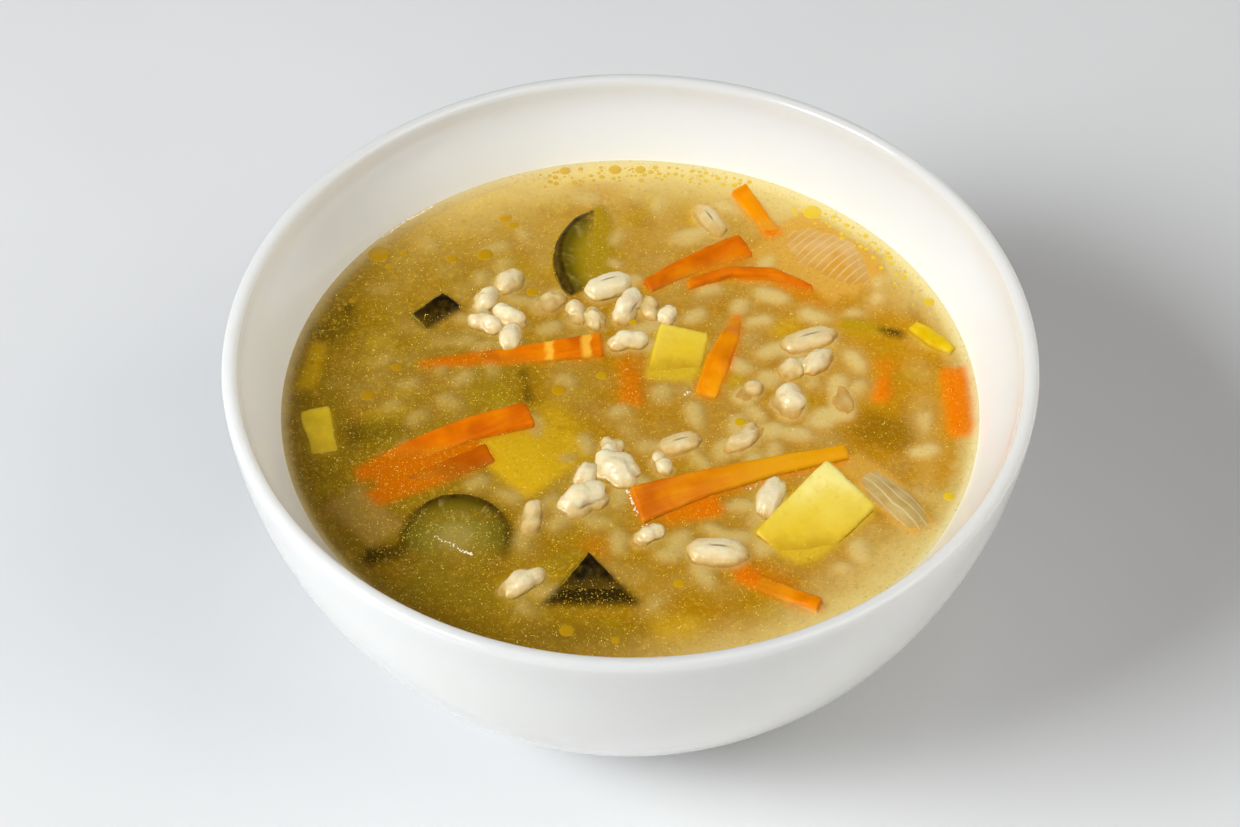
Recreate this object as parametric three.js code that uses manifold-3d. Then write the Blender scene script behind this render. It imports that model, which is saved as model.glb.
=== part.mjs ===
// Bowl of pickle soup: a deep white bowl filled with broth, with carrot sticks, potato dice,
// pickle pieces, onion petals and pearl barley that break the surface.
// Millimetres, +Z up. The origin is the centre of the bowl's foot, and the viewer sits at -Y.
import * as THREE from 'three';
import { mergeVertices } from 'three/addons/utils/BufferGeometryUtils.js';
import Module from 'manifold-3d';

const wasm = await Module();
wasm.setup();

// Bowl. Its outside is part of an ellipse whose centre lies a little above the rim.
const BOWL_HEIGHT = 67.2;
const TURNS = 64;
const WALL_RADIUS = 70.2;
const WALL_DEPTH = 80.6;
const WALL_CENTRE_Z = BOWL_HEIGHT + 6.8;
const WALL_STEPS = 9;
const WALL_CROWDING = 1.3; // its steps are shorter near the foot, where it curves most
const LIP_STEPS = 6;
const LIP_CENTRE_RADIUS = 68.4;
const LIP_HALF_WIDTH = 1.35;
const LIP_HEIGHT = 1.5;
const LIP_Z = BOWL_HEIGHT - LIP_HEIGHT;
const FOOT_RADIUS = 31;
const FOOT_WIDTH = 4;
const FOOT_HEIGHT = 3;
const FOOT_ROUNDING = 0.7;
const FLOOR_Z = 8;
const INSIDE_UNDER_LIP = [66.4, 63.2]; // radius and height, where the wall starts to lean out less
const INSIDE_BELOW_SOUP = [[55.8, 38], [46, 22], [27, 10.4]];
const INSIDE_STEPS = 10;

// Broth. It creeps up the wall by the meniscus, and the wall leans out by WALL_LEAN per mm there.
const SOUP_LEVEL = 53;
const SOUP_RADIUS = 60.5;
const MENISCUS_RISE = 0.9;
const MENISCUS_WIDTH = 4;
const MENISCUS_SHARES = [0.25, 0.6, 1]; // of its width, from the wall inwards
const MENISCUS_POWER = 3;
const WALL_LEAN = 0.45;

// Room between neighbouring pieces
const POCKET_GAP = 0.4;
const WALL_GAP = 0.36;

// Cut pieces. The rings next to the ends lie at END_CUT of half the length, so that ends stay crisp.
const END_CUT = 0.97;
const END_SOFTNESS = 0.35;
const CUT_ROUNDING = 0.25;
const CUT_CELLS = 5;

// A slight unevenness of everything cut by hand, and its waves along and across a piece
const UNEVENNESS = 0.12;
const WAVES_ALONG = 5;
const WAVES_ACROSS = 2;

// Slices and skins
const SLICE_EDGE = 0.6;
const SLICE_CURVE_STEPS = 14;

// Onion petals, as shares of their curl and width
const PETAL_CURL_ACROSS = 0.7;
const PETAL_CURL_ALONG = 0.5;
const PETAL_NARROWING = 0.25;
const PETAL_SKEW = 0.4;

// Barley
const GRAIN_SIDES = 6;
const GRAIN_RINGS = 4;
const GRAIN_FLATNESS = 0.9;

const porcelain = finish(0xf4f2ee, 0.18);
const brothLiquid = finish(0xc39a3c, 0.2);
const carrotFlesh = finish(0xe27a06, 0.4);
const potatoFlesh = finish(0xe9cb55, 0.5);
const pickleFlesh = finish(0x9c8a28, 0.4);
const pickleSkin = finish(0x4a3c0a, 0.35);
const onionFlesh = finish(0xdcb877, 0.35);

function finish(color, roughness) {
  return new THREE.MeshStandardMaterial({ color, roughness, metalness: 0 });
}

// Booleans

const WELD_DISTANCE = 1e-4;

function toSolid(geometry) {
  const bare = geometry.clone();
  bare.deleteAttribute('normal');
  bare.deleteAttribute('uv');
  const welded = mergeVertices(bare, WELD_DISTANCE);
  return new wasm.Manifold(new wasm.Mesh({
    numProp: 3,
    vertProperties: new Float32Array(welded.attributes.position.array),
    triVerts: new Uint32Array(welded.index.array),
  }));
}

function toGeometry(solid) {
  const mesh = solid.getMesh();
  const geometry = new THREE.BufferGeometry();
  geometry.setAttribute('position', new THREE.BufferAttribute(mesh.vertProperties, 3));
  geometry.setIndex(new THREE.BufferAttribute(mesh.triVerts, 1));
  geometry.computeVertexNormals();
  return geometry;
}

// Bowl and broth, both turned about the bowl's axis

function wallRadius(z) {
  return WALL_RADIUS * Math.sqrt(1 - ((z - WALL_CENTRE_Z) / WALL_DEPTH) ** 2);
}

// The inside of the bowl, from the lip down to the middle of the floor.
const insideCurve = new THREE.CatmullRomCurve3([
  new THREE.Vector3(LIP_CENTRE_RADIUS - LIP_HALF_WIDTH, LIP_Z, 0),
  new THREE.Vector3(...INSIDE_UNDER_LIP, 0),
  new THREE.Vector3(SOUP_RADIUS, SOUP_LEVEL, 0),
  ...INSIDE_BELOW_SOUP.map(([radius, z]) => new THREE.Vector3(radius, z, 0)),
  new THREE.Vector3(0, FLOOR_Z, 0),
]);

function bowlProfile() {
  const points = [];
  const ringInside = FOOT_RADIUS - FOOT_WIDTH;
  points.push(new THREE.Vector2(0, FOOT_HEIGHT));
  points.push(new THREE.Vector2(ringInside - FOOT_ROUNDING, FOOT_HEIGHT));
  points.push(new THREE.Vector2(ringInside, FOOT_ROUNDING));
  points.push(new THREE.Vector2(ringInside + FOOT_ROUNDING, 0));
  points.push(new THREE.Vector2(FOOT_RADIUS - FOOT_ROUNDING, 0));
  points.push(new THREE.Vector2(FOOT_RADIUS, FOOT_ROUNDING));
  for (let i = 0; i < WALL_STEPS; i++) {
    const z = FOOT_HEIGHT + (LIP_Z - FOOT_HEIGHT) * (i / WALL_STEPS) ** WALL_CROWDING;
    points.push(new THREE.Vector2(wallRadius(z), z));
  }
  for (let i = 0; i <= LIP_STEPS; i++) {
    const angle = Math.PI * i / LIP_STEPS;
    const r = LIP_CENTRE_RADIUS + LIP_HALF_WIDTH * Math.cos(angle);
    points.push(new THREE.Vector2(r, LIP_Z + LIP_HEIGHT * Math.sin(angle)));
  }
  for (let i = 1; i <= INSIDE_STEPS; i++) {
    const point = insideCurve.getPoint(i / INSIDE_STEPS);
    points.push(new THREE.Vector2(Math.max(point.x, 0), point.y));
  }
  return points;
}

// The broth keeps a gap to the bowl, and creeps a little way up the wall.
function brothProfile() {
  const points = [new THREE.Vector2(0, FLOOR_Z + WALL_GAP)];
  for (let i = INSIDE_STEPS - 1; i > 0; i--) {
    const point = insideCurve.getPoint(i / INSIDE_STEPS);
    const tangent = insideCurve.getTangent(i / INSIDE_STEPS);
    if (point.y >= SOUP_LEVEL) break;
    points.push(new THREE.Vector2(point.x + tangent.y * WALL_GAP, point.y - tangent.x * WALL_GAP));
  }
  const edge = SOUP_RADIUS - WALL_GAP;
  const top = SOUP_LEVEL + MENISCUS_RISE;
  points.push(new THREE.Vector2(edge + MENISCUS_RISE * WALL_LEAN, top));
  for (const share of MENISCUS_SHARES) {
    const z = SOUP_LEVEL + MENISCUS_RISE * (1 - share) ** MENISCUS_POWER;
    points.push(new THREE.Vector2(edge - MENISCUS_WIDTH * share, z));
  }
  points.push(new THREE.Vector2(0, SOUP_LEVEL));
  return points;
}

function turned(profile) {
  const geometry = new THREE.LatheGeometry(profile, TURNS);
  geometry.rotateX(Math.PI / 2);
  return toSolid(geometry);
}

// Pieces of food. Every function takes how much its piece is grown, for the pocket it lies in.

// Puts a shape at a place given from the middle of the soup's surface, along and up its axes.
function place(geometry, at, along, up) {
  const x = new THREE.Vector3(...along).normalize();
  const z = new THREE.Vector3(...up);
  z.addScaledVector(x, -z.dot(x)).normalize();
  const y = new THREE.Vector3().crossVectors(z, x);
  const matrix = new THREE.Matrix4().makeBasis(x, y, z);
  matrix.setPosition(at[0], at[1], at[2] + SOUP_LEVEL);
  return geometry.applyMatrix4(matrix);
}

function uneven(x, y, phase) {
  return UNEVENNESS * Math.sin(WAVES_ALONG * x + WAVES_ACROSS * y + phase);
}

// A stick or a dice: a box whose section changes from one end to the other, with soft corners.
// It is swollen at its middle by swell, and curves to its side and upwards by side and bow.
function cutPiece(spec, grow) {
  const { from, to, up, width, height, endWidth = width, endHeight = height } = spec;
  const { round = CUT_ROUNDING, cells = CUT_CELLS, taper = 1, swell = 0, side = 0, bow = 0 } = spec;
  const start = new THREE.Vector3(...from);
  const axis = new THREE.Vector3(...to).sub(start);
  const length = axis.length() + 2 * grow;
  const geometry = new THREE.BoxGeometry(2, 2, 2, cells, 2, 2);
  const position = geometry.attributes.position;
  for (let i = 0; i < position.count; i++) {
    const x = crowdEnds(position.getX(i), cells);
    const y = position.getY(i);
    const z = position.getZ(i);
    const t = ((x + 1) / 2) ** taper;
    const end = 1 - round * END_SOFTNESS * Math.max(0, Math.abs(x) - END_CUT) / (1 - END_CUT);
    const middle = 1 - x * x;
    const w = (width + (endWidth - width) * t + swell * middle) / 2;
    const h = (height + (endHeight - height) * t) / 2;
    const across = y * Math.sqrt(1 - round * z * z / 2) * end * w + grow * y;
    const upward = z * Math.sqrt(1 - round * y * y / 2) * end * h + grow * z;
    const wave = uneven(x, y, from[0]);
    position.setXYZ(
      i,
      x * length / 2 + wave * z,
      across + side * middle + wave,
      upward + bow * middle - wave,
    );
  }
  const centre = start.addScaledVector(axis, 0.5);
  return place(geometry, centre.toArray(), axis.toArray(), up);
}

// Moves the first and last cuts of a box close to its ends, so that its ends stay crisp.
function crowdEnds(x, cells) {
  const step = Math.round((x + 1) / 2 * cells);
  if (step === 0 || step === cells) return x;
  return END_CUT * (2 * (step - 1) / (cells - 2) - 1);
}

// A slice or a cut of skin: an outline with some thickness and softened edges.
function slice(spec, grow) {
  const { outline, thickness, at, along, up } = spec;
  const geometry = new THREE.ExtrudeGeometry(outline, {
    depth: thickness - 2 * SLICE_EDGE,
    bevelEnabled: true,
    bevelThickness: SLICE_EDGE + grow,
    bevelSize: SLICE_EDGE,
    bevelOffset: grow - SLICE_EDGE,
    bevelSegments: 2,
    curveSegments: SLICE_CURVE_STEPS,
    steps: 1,
  });
  geometry.translate(0, 0, SLICE_EDGE - thickness / 2);
  return place(geometry, at, along, up);
}

// A round slice from one angle to another, in degrees, closed by a straight cut, or by two
// that meet at a corner.
function roundOutline(radius, fromDegrees, toDegrees, corner) {
  const shape = new THREE.Shape();
  const first = THREE.MathUtils.degToRad(fromDegrees);
  const last = THREE.MathUtils.degToRad(toDegrees);
  shape.absarc(0, 0, radius, first, last, false);
  if (corner) shape.lineTo(corner[0], corner[1]);
  shape.closePath();
  return shape;
}

function cornerOutline(corners) {
  return new THREE.Shape(corners.map(([x, y]) => new THREE.Vector2(x, y)));
}

// A petal of onion: a thin sheet that curves across and along.
function petal(spec, grow) {
  const { length, width, thickness, curl, at, along, up } = spec;
  const geometry = new THREE.BoxGeometry(2, 2, 2, 6, 4, 1);
  const position = geometry.attributes.position;
  for (let i = 0; i < position.count; i++) {
    const x = position.getX(i);
    const y = position.getY(i);
    const z = position.getZ(i);
    const narrow = 1 - PETAL_NARROWING * ((x + 1) / 2) ** 2;
    const droop = curl * (y * y * PETAL_CURL_ACROSS + x * x * PETAL_CURL_ALONG);
    position.setXYZ(
      i,
      x * (length / 2 + grow) + PETAL_SKEW * y * y,
      y * (width / 2 * narrow + grow),
      z * (thickness / 2 + grow) - droop + uneven(x, y, 0),
    );
  }
  return place(geometry, at, along, up);
}

// A cooked grain of pearl barley: a plump oval, a little flattened.
function grain([x, y, z, length, width, heading]) {
  const geometry = new THREE.SphereGeometry(1, GRAIN_SIDES, GRAIN_RINGS);
  geometry.rotateZ(Math.PI / 2);
  geometry.scale(length / 2, width / 2, width / 2 * GRAIN_FLATNESS);
  const turn = THREE.MathUtils.degToRad(heading);
  return place(geometry, [x, y, z], [Math.cos(turn), Math.sin(turn), 0], [0, 0, 1]);
}

// Carrots. All places are in mm from the middle of the soup's surface.

const carrots = {
  carrot_striped: {
    from: [-37.5, 9.6, -3.2], to: [-4.8, 13.2, -0.6], up: [0, -0.2, 1],
    width: 2.2, endWidth: 4.6, height: 3, endHeight: 4.6, taper: 0.8,
  },
  carrot_long: {
    from: [0.8, -24.1, -0.6], to: [37.2, -12.2, 0], up: [0, -0.35, 1],
    width: 8, endWidth: 2.4, height: 4.5, endHeight: 2.6, taper: 0.5, side: 1,
  },
  carrot_left_upper: {
    from: [-46.6, -16.8, -3.2], to: [-17.3, -3.6, -0.4], up: [0, -0.2, 1],
    width: 4.4, endWidth: 5, height: 3.6, endHeight: 4.2, side: 1.8,
  },
  carrot_left_lower: {
    from: [-44.2, -22, -3], to: [-24, -11.8, -1.3], up: [0, -0.2, 1],
    width: 4.6, endWidth: 4.2, height: 3.6,
  },
  carrot_leaning: {
    from: [13, 1.5, -0.8], to: [19.4, 21.5, -2], up: [0.1, -0.2, 1],
    width: 4, endWidth: 1.2, height: 2.6, endHeight: 1.6, swell: 1.4, bow: 2.4,
  },
  carrot_bent: {
    from: [3, 28, -0.8], to: [21, 38.5, -1], up: [0, -0.2, 1],
    width: 3, endWidth: 5.5, height: 3, endHeight: 3.6, side: 1, bow: -0.8,
  },
  carrot_arc: {
    from: [10.5, 28.6, -0.8], to: [33, 27.6, -1.4], up: [0, -0.2, 1],
    width: 2, endWidth: 1.8, height: 3, side: 3.4, bow: 0.6,
  },
  carrot_back: {
    from: [20.2, 52.8, -0.6], to: [26.6, 41.4, -2], up: [0, -0.2, 1],
    width: 3.6, endWidth: 3, height: 4, endHeight: 2.6,
  },
  carrot_front: {
    from: [18, -38.5, -2.4], to: [31.2, -45.8, -0.8], up: [0, 0, 1],
    width: 3.2, endWidth: 2.8, height: 3, endHeight: 3,
  },
};

// Potatoes

const potatoes = {
  potato_front: {
    from: [24.6, -31.5, -6.6], to: [37.1, -19.5, -1.6], up: [0.04, -0.41, 0.87],
    width: 12, height: 13, round: 0.2, cells: 4,
  },
  potato_middle: {
    from: [3.8, 13, -3.4], to: [12.6, 11.2, -4.6], up: [0.05, -0.38, 0.92],
    width: 12, height: 10, round: 0.25, cells: 5,
  },
  potato_left: {
    from: [-54.8, -2, -2.2], to: [-52.4, -11.8, -2.4], up: [0, 0, 1],
    width: 5.6, endWidth: 4.8, height: 5.4, endHeight: 5, round: 0.2, cells: 5,
  },
  potato_strip: {
    from: [50.2, 18.4, -0.7], to: [57, 12.2, -0.7], up: [0, 0, 1],
    width: 2.4, endWidth: 2, height: 2, swell: 1.4, round: 0.4, cells: 6,
  },
};

// Pickles

const pickles = {
  pickle_quarter: {
    outline: roundOutline(16.6, 117, 214, [-1.5, -1]), thickness: 4,
    at: [1.8, 35, -5.6], along: [1, 0, -0.36], up: [0.36, 0, 1],
  },
  pickle_slice: {
    outline: roundOutline(9.6, -60, 299), thickness: 4,
    at: [-29.3, -30.6, -3.2], along: [1, 0, 0], up: [0, -0.2, 1],
  },
};

const pickleSkins = {
  pickle_skin_diamond: {
    outline: cornerOutline([[-4.6, -1], [-1.6, -4.4], [4.6, 1], [1, 4.4]]), thickness: 2.6,
    at: [-34.6, 22.2, -1.2], along: [1, 0, 0], up: [-0.12, -0.12, 1],
  },
  pickle_skin_wedge: {
    outline: cornerOutline([[-8, -4.6], [9.2, -4.2], [0.2, 6.4]]), thickness: 4,
    at: [-7.2, -40.6, -2.2], along: [1, 0, 0], up: [0, -0.25, 1],
  },
};

// Onions

const onions = {
  onion_back: {
    length: 19, width: 12, thickness: 1.6, curl: 1.4,
    at: [36.4, 36, -0.5], along: [0.72, -0.69, 0], up: [0, 0, 1],
  },
  onion_front: {
    length: 15, width: 6.6, thickness: 1.6, curl: 1.2,
    at: [45, -22.4, -0.5], along: [0.62, -0.78, 0], up: [0, 0, 1],
  },
};

// Barley grains that break the surface: x, y, z of the middle, length, width, heading.
const grains = [
  [-22, 29.4, -1.2, 6.4, 5, 60],
  [-26, 24.2, -0.6, 6.6, 5, 70],
  [-25.4, 19, -0.4, 6.6, 4.8, 140],
  [-21.4, 20, 0, 6.4, 4.6, 150],
  [-21.2, 15, 0.2, 5.6, 3.6, 80],
  [-14.6, 24.6, -1.4, 7.2, 5, 40],
  [-9.6, 21.2, -0.8, 5.6, 4.4, 100],
  [-6.4, 20.2, -0.4, 5.4, 4, 120],
  [-3.8, 27.6, 0.2, 8.6, 4.8, 22],
  [-0.6, 22.6, 0.2, 8, 4.8, 62],
  [3.6, 22.6, -1, 6, 4.4, 120],
  [-0.6, 14.4, -0.8, 7.6, 5.6, 10],
  [6.6, 20.2, 0.4, 3.6, 3.2, 60],
  [14.6, 45.4, -1.2, 9, 4.4, 118],
  [31.8, 15, -1.1, 10.6, 5, 20],
  [28.6, 8.2, -0.6, 6, 4.6, 60],
  [33, 9.4, -0.6, 6.6, 4, 50],
  [27.6, 0, -1.6, 8, 7, 100],
  [20.6, 2.4, -1.6, 6, 5, 60],
  [20, -8.6, -1, 9.4, 4.6, 48],
  [8.6, -9.6, -1.2, 8, 4.6, 20],
  [5.4, -14.6, -0.4, 5, 3.8, 110],
  [-3.2, -11.4, -0.2, 5.2, 4.2, 80],
  [-2.4, -16.2, 0.4, 8.6, 6.4, 150],
  [-7.6, -17.2, -0.4, 5.2, 4, 70],
  [-8.2, -22.8, 0, 9, 6.4, 25],
  [-16.6, -26.6, -1.4, 7.8, 4.6, 70],
  [-18.2, -40.6, -0.4, 8.4, 5, 40],
  [23.6, -22.4, -0.2, 8, 4.6, 72],
  [3, -30.4, -0.6, 6, 4.4, 30],
  [14.6, -34.2, -1, 10.2, 6, -6],
  [36.8, 0, -1.7, 8.4, 4.6, 100],
];

// Every piece with its material, as a function of how much it is grown

const pieces = [
  ...piecesOf(carrots, cutPiece, carrotFlesh),
  ...piecesOf(potatoes, cutPiece, potatoFlesh),
  ...piecesOf(pickles, slice, pickleFlesh),
  ...piecesOf(pickleSkins, slice, pickleSkin),
  ...piecesOf(onions, petal, onionFlesh),
];

function piecesOf(specs, make, material) {
  return Object.entries(specs).map(([name, spec]) => (
    { name, material, solid: (grow) => toSolid(make(spec, grow)) }
  ));
}

// The broth with its barley, cut out round every other piece.
function brothSolid() {
  let solid = turned(brothProfile());
  for (const spec of grains) {
    solid = solid.add(toSolid(grain(spec)));
  }
  for (const piece of pieces) {
    solid = solid.subtract(piece.solid(POCKET_GAP));
  }
  return solid;
}

const soup = new THREE.Group();

function addNode(name, solid, material) {
  const mesh = new THREE.Mesh(toGeometry(solid), material);
  mesh.name = name;
  soup.add(mesh);
}

addNode('bowl', turned(bowlProfile()), porcelain);
addNode('broth', brothSolid(), brothLiquid);
for (const piece of pieces) {
  addNode(piece.name, piece.solid(0), piece.material);
}

export default soup;
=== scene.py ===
# %% [markdown]
# # A bowl of pickle soup
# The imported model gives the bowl, the broth up to its level and every cut piece at its real size and
# place. This lesson dresses them. Soup is hard to render because light wanders about inside it, so
# most of the cells below are about one thing: how a piece fades into cloudy broth as it sinks.

import math
import random

import bpy
import numpy as np
from mathutils import Matrix, Vector
from mathutils.bvhtree import BVHTree


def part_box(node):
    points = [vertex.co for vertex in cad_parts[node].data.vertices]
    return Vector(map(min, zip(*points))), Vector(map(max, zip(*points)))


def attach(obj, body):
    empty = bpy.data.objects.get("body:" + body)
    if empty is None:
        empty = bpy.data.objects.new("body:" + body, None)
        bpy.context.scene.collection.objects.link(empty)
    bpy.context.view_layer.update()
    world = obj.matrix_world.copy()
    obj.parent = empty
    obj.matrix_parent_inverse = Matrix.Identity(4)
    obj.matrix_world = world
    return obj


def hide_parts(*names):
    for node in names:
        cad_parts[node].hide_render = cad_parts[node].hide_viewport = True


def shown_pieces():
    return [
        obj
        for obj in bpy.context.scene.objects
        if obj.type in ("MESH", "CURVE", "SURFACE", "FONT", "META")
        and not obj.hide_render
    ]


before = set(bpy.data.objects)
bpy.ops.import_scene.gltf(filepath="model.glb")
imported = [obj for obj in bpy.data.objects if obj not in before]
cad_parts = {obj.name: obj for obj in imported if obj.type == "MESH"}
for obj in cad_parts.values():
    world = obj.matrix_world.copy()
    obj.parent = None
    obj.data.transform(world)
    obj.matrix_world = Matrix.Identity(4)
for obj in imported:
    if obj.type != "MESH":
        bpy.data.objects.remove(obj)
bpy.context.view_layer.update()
scene = bpy.context.scene
MM = 0.001
RIM_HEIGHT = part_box("bowl")[1].z / MM
print("nodes:", len(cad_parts), "rim height in mm:", round(RIM_HEIGHT, 1))

# %% [markdown]
# ## The camera
# The view is from above the front edge, as from a chair at the table. A long lens keeps the rim's
# ellipse nearly free of perspective, so the camera stands well over half a metre away.

# %% Camera
CAMERA_PLACE = (-1.78, -385.72, 473.35)
CAMERA_TILT = 42.316
LENS = 95.19
SENSOR_WIDTH = 36

camera_data = bpy.data.cameras.new("camera")
camera_data.lens = LENS
camera_data.sensor_width = SENSOR_WIDTH
camera_data.sensor_fit = "HORIZONTAL"
camera = bpy.data.objects.new("camera", camera_data)
camera.location = Vector(CAMERA_PLACE) * MM
camera.rotation_euler = (math.radians(CAMERA_TILT), 0, 0)
scene.collection.objects.link(camera)
scene.camera = camera
print("camera looks down at", round(90 - CAMERA_TILT, 1), "degrees")

# %% [markdown]
# ## Small tools for modelling
# An operator works on whatever is selected, and loading the frame leaves its nodes selected. So each
# step first selects exactly what it means to change. A finished piece gets its place in its mesh, a
# material, the body that it rides on and the solids that it stands for.

# %% Tools for objects
def only(*pieces):
    """Selects these objects and nothing else, the first of them active."""
    if bpy.context.mode != "OBJECT":
        bpy.ops.object.mode_set(mode="OBJECT")
    bpy.ops.object.select_all(action="DESELECT")
    for piece in pieces:
        piece.select_set(True)
    bpy.context.view_layer.objects.active = pieces[0]


def edit(piece, kind="FACE"):
    """Opens a piece in edit mode with all of it selected."""
    only(piece)
    bpy.ops.object.mode_set(mode="EDIT")
    bpy.ops.mesh.select_mode(type=kind)
    bpy.ops.mesh.select_all(action="SELECT")


def select_points(piece, wanted):
    """Selects the points that pass a test on their place, in edit mode."""
    bpy.ops.mesh.select_all(action="DESELECT")
    bpy.ops.object.mode_set(mode="OBJECT")
    for point in piece.data.vertices:
        point.select = wanted(point.co)
    bpy.ops.object.mode_set(mode="EDIT")


def modify(piece, kind, **settings):
    """Adds a modifier with its settings and applies it."""
    only(piece)
    modifier = piece.modifiers.new(kind.title(), kind)
    for name, value in settings.items():
        setattr(modifier, name, value)
    bpy.ops.object.modifier_apply(modifier=modifier.name)


def triangles(piece):
    """How many triangles a piece has."""
    return sum(len(face.vertices) - 2 for face in piece.data.polygons)


def settle(piece, material, slot, *nodes, angle=60):
    """Finishes a piece: place into its mesh, material, body and the nodes it stands for; slot is not used."""
    only(piece)
    bpy.ops.object.transform_apply(location=True, rotation=True, scale=True)
    bpy.ops.object.shade_smooth_by_angle(angle=math.radians(angle))
    piece.data.materials.clear()
    piece.data.materials.append(material)
    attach(piece, "root")
    if nodes:
        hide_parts(*nodes)
    print(piece.name, triangles(piece), "triangles")
    return piece


def lie_in_haze(piece):
    """A piece in cloudy broth takes no light from what lies round it."""
    piece.visible_shadow = False
    piece.visible_diffuse = False


# %% [markdown]
# ## Small tools for materials
# Colours are written as they look on a screen, so one function turns them to the linear values that
# Blender works in. A second adds any node with its settings and links.

# %% Tools for materials
def linear(hex_text):
    """Turns #rrggbb into the linear colour that shaders use."""
    shares = [int(hex_text[i:i + 2], 16) / 255 for i in (1, 3, 5)]
    return [s / 12.92 if s <= 0.04045 else ((s + 0.055) / 1.055) ** 2.4 for s in shares] + [1]


def add(tree, kind, values=None, links=None, **settings):
    """Adds a node, sets it up and links its inputs."""
    made = tree.nodes.new("ShaderNode" + kind)
    for name, value in settings.items():
        setattr(made, name, value)
    for name, value in (values or {}).items():
        made.inputs[name].default_value = value
    for name, socket in (links or {}).items():
        tree.links.new(socket, made.inputs[name])
    return made


def maths(tree, operation, *terms):
    """A chain-friendly Math node: each term is a number or a socket."""
    numbers = {i: t for i, t in enumerate(terms) if isinstance(t, (int, float))}
    sockets = {i: t for i, t in enumerate(terms) if not isinstance(t, (int, float))}
    return add(tree, "Math", numbers, sockets, operation=operation).outputs[0]


def blend_colours(tree, share, first, second):
    """Mixes two colours, given as hex or as sockets, by a number or a socket."""
    made = tree.nodes.new("ShaderNodeMix")
    made.data_type = "RGBA"
    for socket, value in ((made.inputs[0], share), (made.inputs[6], first), (made.inputs[7], second)):
        if isinstance(value, str):
            socket.default_value = linear(value)
        elif isinstance(value, (int, float)):
            socket.default_value = value
        else:
            tree.links.new(value, socket)
    return made.outputs[2]


def ramp(tree, share, *stops):
    """A colour ramp through (place, hex) stops."""
    made = add(tree, "ValToRGB", links={0: share})
    elements = made.color_ramp.elements
    while len(elements) < len(stops):
        elements.new(1)
    for element, (place, hex_text) in zip(elements, stops):
        element.position = place
        element.color = linear(hex_text)
    return made.outputs[0]


def noise(tree, place, size_mm, detail=2, stretch=None):
    """Noise whose lumps measure about size_mm; stretch scales its three directions."""
    if stretch:
        place = add(tree, "Mapping", {"Scale": stretch}, {"Vector": place}).outputs[0]
    values = {"Scale": 1 / (size_mm * MM), "Detail": detail}
    return add(tree, "TexNoise", values, {"Vector": place}).outputs[0]


def smooth_step(tree, value, low, high):
    """0 below low, 1 above high and smooth in between."""
    values = {"From Min": low, "From Max": high}
    made = add(tree, "MapRange", values, {"Value": value}, interpolation_type="SMOOTHSTEP")
    return made.outputs[0]


def new_material(name):
    """An empty material with its output, its tree and its Object coordinates."""
    material = bpy.data.materials.new(name)
    material.use_nodes = True
    tree = material.node_tree
    tree.nodes.clear()
    output = add(tree, "OutputMaterial")
    place = add(tree, "TexCoord").outputs["Object"]
    return material, tree, output, place


# %% [markdown]
# ## What cloudy broth does to a colour
# Broth scatters light, so a thing under its surface takes on the broth's colour, more with every
# millimetre, and its outline blurs. A true volume would need many samples and would be lost in an
# exported model. The same veil can be worked out for each point from its depth alone: what gets
# through falls as exp(-depth / clearness), and sooner on a side that doesn't face the sky. The broth's
# tint has painted light and shade in it: painted dark olive where the near left wall shades it,
# golden where the light falls at the right, and a painted paler tan at the back where the bright wall
# is reflected. Beside the wall the porcelain shows through the thin broth, painted brighter on the
# lit side.

# %% Broth colour and veil
SOUP_LEVEL = 53
SOUP_RADIUS = 60.5
CORE_DEPTH = 3.8
CLEARNESS = 1.1
SIDE_DEPTH = 1.2
SIDE_LEAN = 0.7
WETTED = 0.2
HAZE_DEPTH = 0.45
SUNK_MARGIN = 1.3
RIGHT_SHARE = 0.95
BACK_SHARE = 0.3
LIGHT_SPAN = 52
TAN_SPAN = (24 * MM, 58 * MM)
EDGE_END = 63 * MM
NARROW_EDGE = 56.5 * MM
WIDE_EDGE = 49 * MM
WIDE_SPAN = (16 * MM, 36 * MM)


def span(tree, value, low, high):
    """0 at low, 1 at high and straight in between."""
    return add(tree, "MapRange", {"From Min": low, "From Max": high}, {"Value": value}).outputs[0]


def light_side(tree, place):
    """0 at the near left, which the wall shades, and 1 at the far right, with soft clouds between."""
    parts = add(tree, "SeparateXYZ", links={0: place})
    cloud = maths(tree, "MULTIPLY_ADD", noise(tree, place, 16, 3), 30 * MM, -15 * MM)
    rightwards = maths(tree, "MULTIPLY_ADD", parts.outputs[0], RIGHT_SHARE, cloud)
    rightwards = maths(tree, "MULTIPLY_ADD", parts.outputs[1], BACK_SHARE, rightwards)
    return span(tree, rightwards, -LIGHT_SPAN * MM, LIGHT_SPAN * MM)


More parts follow.
